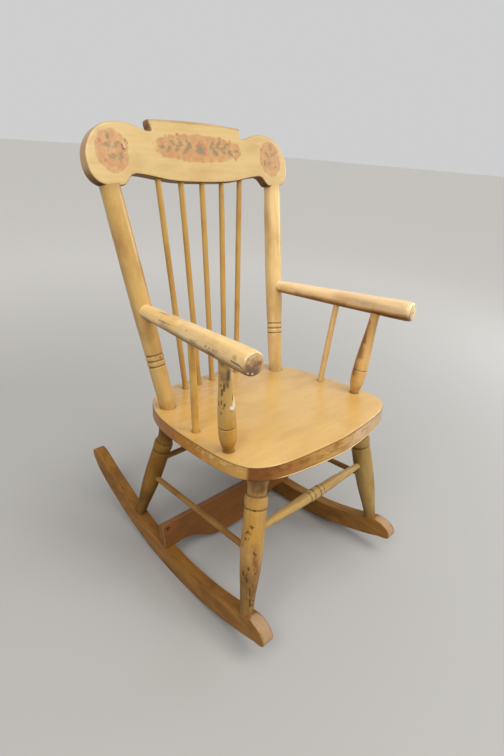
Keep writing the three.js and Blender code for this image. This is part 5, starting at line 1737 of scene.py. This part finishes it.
class CHAIR_OT_stretchers(bpy.types.Operator):
    """Build the turned front stretcher and the three plain ones"""

    bl_idname = "chair.stretchers"
    bl_label = "Stretchers"

    def execute(self, context):
        size = context.scene.chair_sizes
        end = at_height(front_leg_line(), FRONT_STRETCHER_HEIGHT)
        half_length = end.x + STRETCHER_PAST_LEG_MIDDLE
        outer = scaled(FRONT_STRETCHER_TURNING, half_length, size.front_stretcher_radius)
        stations = [(-a, r) for a, r in outer[::-1]] + outer
        middle, sideways = Vector((0, end.y, end.z)), Vector((1, 0, 0))
        piece = turned("turned_front_stretcher", middle, sideways, stations, FRONT_STRETCHER_SIDES, 70)
        dress(piece, "stretcher_front")
        back = at_height(rear_leg_line(), REAR_STRETCHER_HEIGHT)
        line = (Vector((-back.x, back.y, back.z)), Vector((back.x, back.y, back.z)))
        radius = size.rear_stretcher_radius
        piece = turned_between("round_rear_stretcher", line, PLAIN_ROD, radius, ROD_SIDES, 72)
        dress(piece, "stretcher_rear")
        side_line = (
            at_height(front_leg_line(), SIDE_STRETCHER_FRONT_HEIGHT),
            at_height(rear_leg_line(), SIDE_STRETCHER_REAR_HEIGHT),
        )
        radius = size.side_stretcher_radius
        turn_pair("round_side_stretcher", "stretcher_side", side_line, PLAIN_ROD, radius, 74)
        return {"FINISHED"}


def rocker_outline():
    """A rocker seen from its side: the underside, the tail, the top and the nose."""
    nose_floor_y = ROCKER_FRONT_Y + ROCKER_NOSE_LENGTH * ROCKER_NOSE_FLOOR
    tail_start_y = ROCKER_BACK_Y - ROCKER_TAIL_LENGTH
    tail_floor_y = tail_start_y + ROCKER_TAIL_LENGTH * ROCKER_TAIL_FLOOR

    def arc(start, end, height):
        """A run of points along a rocker's top or underside."""
        count = math.ceil(abs(end - start) / ROCKER_OUTLINE_STEP)
        ys = [start + (end - start) * i / count for i in range(count + 1)]
        return [(y, height(y)) for y in ys]

    nose = [
        (ROCKER_FRONT_Y + a, rocker_floor_z(nose_floor_y) + b)
        for a, b in scaled(ROCKER_NOSE, ROCKER_NOSE_LENGTH, ROCKER_NOSE_RISE)
    ]
    tail = [
        (tail_start_y + a, rocker_floor_z(tail_floor_y) + b)
        for a, b in scaled(ROCKER_TAIL, ROCKER_TAIL_LENGTH, ROCKER_TAIL_RISE)
    ]
    floor = arc(nose_floor_y, tail_floor_y, rocker_floor_z)
    top = arc(tail_start_y, ROCKER_FRONT_Y + ROCKER_NOSE_LENGTH, rocker_top_z)
    return (
        floor + spline([floor[-1], *tail[::-1], top[0]], 3)[1:-1]
        + top + spline([top[-1], *nose[::-1], floor[0]], 3)[1:-1]
    )


class CHAIR_OT_rockers(bpy.types.Operator):
    """Build the two sawn rockers, closer together at the back"""

    bl_idname = "chair.rockers"
    bl_label = "Rockers"

    def execute(self, context):
        size = context.scene.chair_sizes
        thickness = size.rocker_thickness
        for number, (side, sign) in enumerate(SIDES):

            def place(y, z, behind):
                return Vector((sign * rocker_middle_x(y) + thickness / 2 - behind, y, z))

            def grain(y, z, behind):
                return z, behind, y

            piece = sawn(
                f"sawn_rocker_{side}", rocker_outline(), thickness, size.rocker_rounding, place, grain,
                ROCKER_FILL, 80 + number,
            )
            dress(piece, f"rocker_{side}")
        return {"FINISHED"}


class CHAIR_OT_cross_board(bpy.types.Operator):
    """Build the cross board that stands on the rockers, its lower edge sawn to an ogee"""

    bl_idname = "chair.cross_board"
    bl_label = "Cross board"

    def execute(self, context):
        size = context.scene.chair_sizes
        half_length = rocker_middle_x(BOARD_FRONT_Y) + size.rocker_thickness / 2 - BOARD_END_INSET
        lower = scaled(BOARD_LOWER_EDGE, half_length, -BOARD_DEPTH)
        bottom = -BOARD_OVER_ROCKER / math.cos(BOARD_LEAN) - BOARD_END_OVERLAP
        corners = [(0, 0), (half_length, 0), (half_length, bottom), (lower[0][0], bottom)]
        outline = both_halves(evenly(corners + spline(lower, 3), BOARD_OUTLINE_STEP))

        def place(x, y, behind):
            return board_point(x, -y, behind)

        def grain(x, y, behind):
            return y, behind, x

        piece = sawn(
            "sawn_cross_board", outline, size.board_thickness, size.board_rounding, place, grain,
            BOARD_FILL, 90,
        )
        dress(piece, "cross_board")
        return {"FINISHED"}


class CHAIR_OT_fixings(bpy.types.Operator):
    """Finish the screws and nails of the cross board in old steel"""

    bl_idname = "chair.fixings"
    bl_label = "Screws and nails"

    def execute(self, context):
        steel = steel_finish()
        for node in ("board_screw_left", "board_screw_right", "board_nail_1", "board_nail_2"):
            for material_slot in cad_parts[node].material_slots:
                material_slot.material = steel
        return {"FINISHED"}


# Stage

# The camera stands where the chair looks as it does in the photograph.
CAMERA_PLACE = (-0.57364, -0.57113, 0.69456)
CAMERA_YAW = math.radians(46.656)
CAMERA_PITCH = math.radians(24.559)
CAMERA_ROLL = math.radians(4.378)
CAMERA_LENS = 24.0
CAMERA_SENSOR = 36

FLOOR_HALF_WIDTH = 40
FLOOR_ROUGHNESS = 0.7

# Where the backdrop lies, and how near a direction comes to it where the backdrop starts and is full.
BACKDROP_DIRECTION = (0.728, 0.686, 0.0)
BACKDROP_START, BACKDROP_FULL = 0.45, 0.86

PANEL_DIRECTION = (-0.08, -0.45, 1.0)
PANEL_POWER = 1.75
PANEL_SPREAD = math.radians(70)
PANEL_TONE = (1, 0.98, 0.95)
LIGHTS_AIM = Vector((0, 0, 0.4))
# The name, place, width, power and tone of each soft light.
SOFT_LIGHTS = (
    ("front_light", (0.4, -1.5, 2.0), 1.0, 17, (1, 0.97, 0.92)),
    ("left_light", (-1.6, -0.6, 1.9), 1.0, 14, (1, 0.98, 0.95)),
    ("right_light", (1.9, -0.6, 1.0), 0.9, 8, (0.96, 0.98, 1)),
)


def camera_axes():
    """The camera's right, up and backward directions."""
    forward = Vector((
        math.sin(CAMERA_YAW) * math.cos(CAMERA_PITCH),
        math.cos(CAMERA_YAW) * math.cos(CAMERA_PITCH),
        -math.sin(CAMERA_PITCH),
    ))
    right = Vector((math.cos(CAMERA_YAW), -math.sin(CAMERA_YAW), 0))
    up = right.cross(forward)
    turned_right = right * math.cos(CAMERA_ROLL) + up * math.sin(CAMERA_ROLL)
    turned_up = up * math.cos(CAMERA_ROLL) - right * math.sin(CAMERA_ROLL)
    return turned_right, turned_up, -forward


def lay_floor(tone_here):
    """The wide plain floor, which isn't part of the chair."""
    far = FLOOR_HALF_WIDTH
    mesh = bpy.data.meshes.new("studio_floor")
    mesh.from_pydata([(-far, -far, 0), (far, -far, 0), (far, far, 0), (-far, far, 0)], [], [(0, 1, 2, 3)])
    mesh.materials.append(floor_finish(tone_here))
    floor = add_to_scene("studio_floor", mesh)


def light_round_the_chair(fill, backdrop):
    """A dim fill from all round and, behind the chair, a paler backdrop."""
    world = bpy.data.worlds.new("studio_light")
    world.use_nodes = True
    bpy.context.scene.world = world
    nodes, links = world.node_tree.nodes, world.node_tree.links
    direction = nodes.new("ShaderNodeTexCoord")
    toward = nodes.new("ShaderNodeVectorMath")
    toward.operation = "DOT_PRODUCT"
    toward.inputs[1].default_value = BACKDROP_DIRECTION
    links.new(direction.outputs["Generated"], toward.inputs[0])
    share = nodes.new("ShaderNodeMapRange")
    share.interpolation_type = "SMOOTHSTEP"
    share.inputs["From Min"].default_value = BACKDROP_START
    share.inputs["From Max"].default_value = BACKDROP_FULL
    links.new(toward.outputs["Value"], share.inputs["Value"])
    blend = nodes.new("ShaderNodeMix")
    blend.data_type = "RGBA"
    blend.inputs[6].default_value = (*fill, 1)
    blend.inputs[7].default_value = (*backdrop, 1)
    links.new(share.outputs["Result"], blend.inputs[0])
    background = nodes["Background"]
    background.inputs["Strength"].default_value = 1.0
    links.new(blend.outputs[2], background.inputs["Color"])


def hang_panel():
    """A wide soft light from above, as from a large diffuser, that also lights the floor evenly."""
    data = bpy.data.lights.new("overhead_panel", "SUN")
    data.energy = PANEL_POWER
    data.angle = PANEL_SPREAD
    data.color = PANEL_TONE
    light = add_to_scene("overhead_panel", data)
    light.rotation_euler = Vector(PANEL_DIRECTION).to_track_quat("Z", "Y").to_euler()


def hang_soft_light(name, place, width, power, tone_here):
    """A round soft light, turned toward the middle of the chair."""
    data = bpy.data.lights.new(name, "AREA")
    data.shape = "DISK"
    data.size = width
    data.energy = power
    data.color = tone_here
    light = add_to_scene(name, data)
    light.location = place
    light.rotation_euler = (LIGHTS_AIM - Vector(place)).to_track_quat("-Z", "Y").to_euler()


def set_camera():
    """The scene's camera, where the chair is seen as in the photograph."""
    data = bpy.data.cameras.new("photo_camera")
    data.sensor_fit = "AUTO"
    data.sensor_width = CAMERA_SENSOR
    data.lens = CAMERA_LENS
    camera = add_to_scene("photo_camera", data)
    rotation = Matrix(camera_axes()).transposed().to_4x4()
    camera.matrix_world = Matrix.Translation(CAMERA_PLACE) @ rotation
    bpy.context.scene.camera = camera


class CHAIR_OT_stage(bpy.types.Operator):
    """Lay the pale floor, hang the soft lights and set the camera"""

    bl_idname = "chair.stage"
    bl_label = "Floor, lights and camera"

    def execute(self, context):
        colour = context.scene.chair_colours
        lay_floor(linear(colour.floor))
        light_round_the_chair(linear(colour.fill), linear(colour.backdrop))
        hang_panel()
        for light in SOFT_LIGHTS:
            hang_soft_light(*light)
        set_camera()
        context.scene.view_settings.view_transform = "Standard"
        return {"FINISHED"}


STEPS = (
    CHAIR_OT_stage, CHAIR_OT_seat, CHAIR_OT_crest_rail, CHAIR_OT_back_posts, CHAIR_OT_back_spindles,
    CHAIR_OT_arms, CHAIR_OT_arm_posts, CHAIR_OT_arm_spindles, CHAIR_OT_front_legs, CHAIR_OT_rear_legs,
    CHAIR_OT_stretchers, CHAIR_OT_rockers, CHAIR_OT_cross_board, CHAIR_OT_fixings,
)


class CHAIR_PT_sidebar(bpy.types.Panel):
    """The chair's pieces, sizes and colours"""

    bl_idname = "CHAIR_PT_sidebar"
    bl_label = "Rocking Chair"
    bl_space_type = "VIEW_3D"
    bl_region_type = "UI"
    bl_category = "Rocking Chair"

    def draw(self, context):
        for step in STEPS:
            self.layout.operator(step.bl_idname, text=step.bl_label)
        for group in (context.scene.chair_sizes, context.scene.chair_colours):
            box = self.layout.box()
            for name in group.__annotations__:
                box.prop(group, name)


CLASSES = (ChairSizes, ChairColours, *STEPS, CHAIR_PT_sidebar)


def register():
    """Adds the steps, the sidebar, the sizes and the colours to Blender."""
    for cls in CLASSES:
        bpy.utils.register_class(cls)
    bpy.types.Scene.chair_sizes = PointerProperty(type=ChairSizes)
    bpy.types.Scene.chair_colours = PointerProperty(type=ChairColours)


def unregister():
    """Takes away what register added."""
    del bpy.types.Scene.chair_colours
    del bpy.types.Scene.chair_sizes
    for cls in reversed(CLASSES):
        bpy.utils.unregister_class(cls)


def main():
    """Builds the whole chair and its stage."""
    register()
    for step in STEPS:
        area, name = step.bl_idname.split(".")
        if getattr(getattr(bpy.ops, area), name)() != {"FINISHED"}:
            raise RuntimeError(f"{step.bl_label} was not built")
    bpy.context.view_layer.update()


if __name__ == "__main__":
    main()
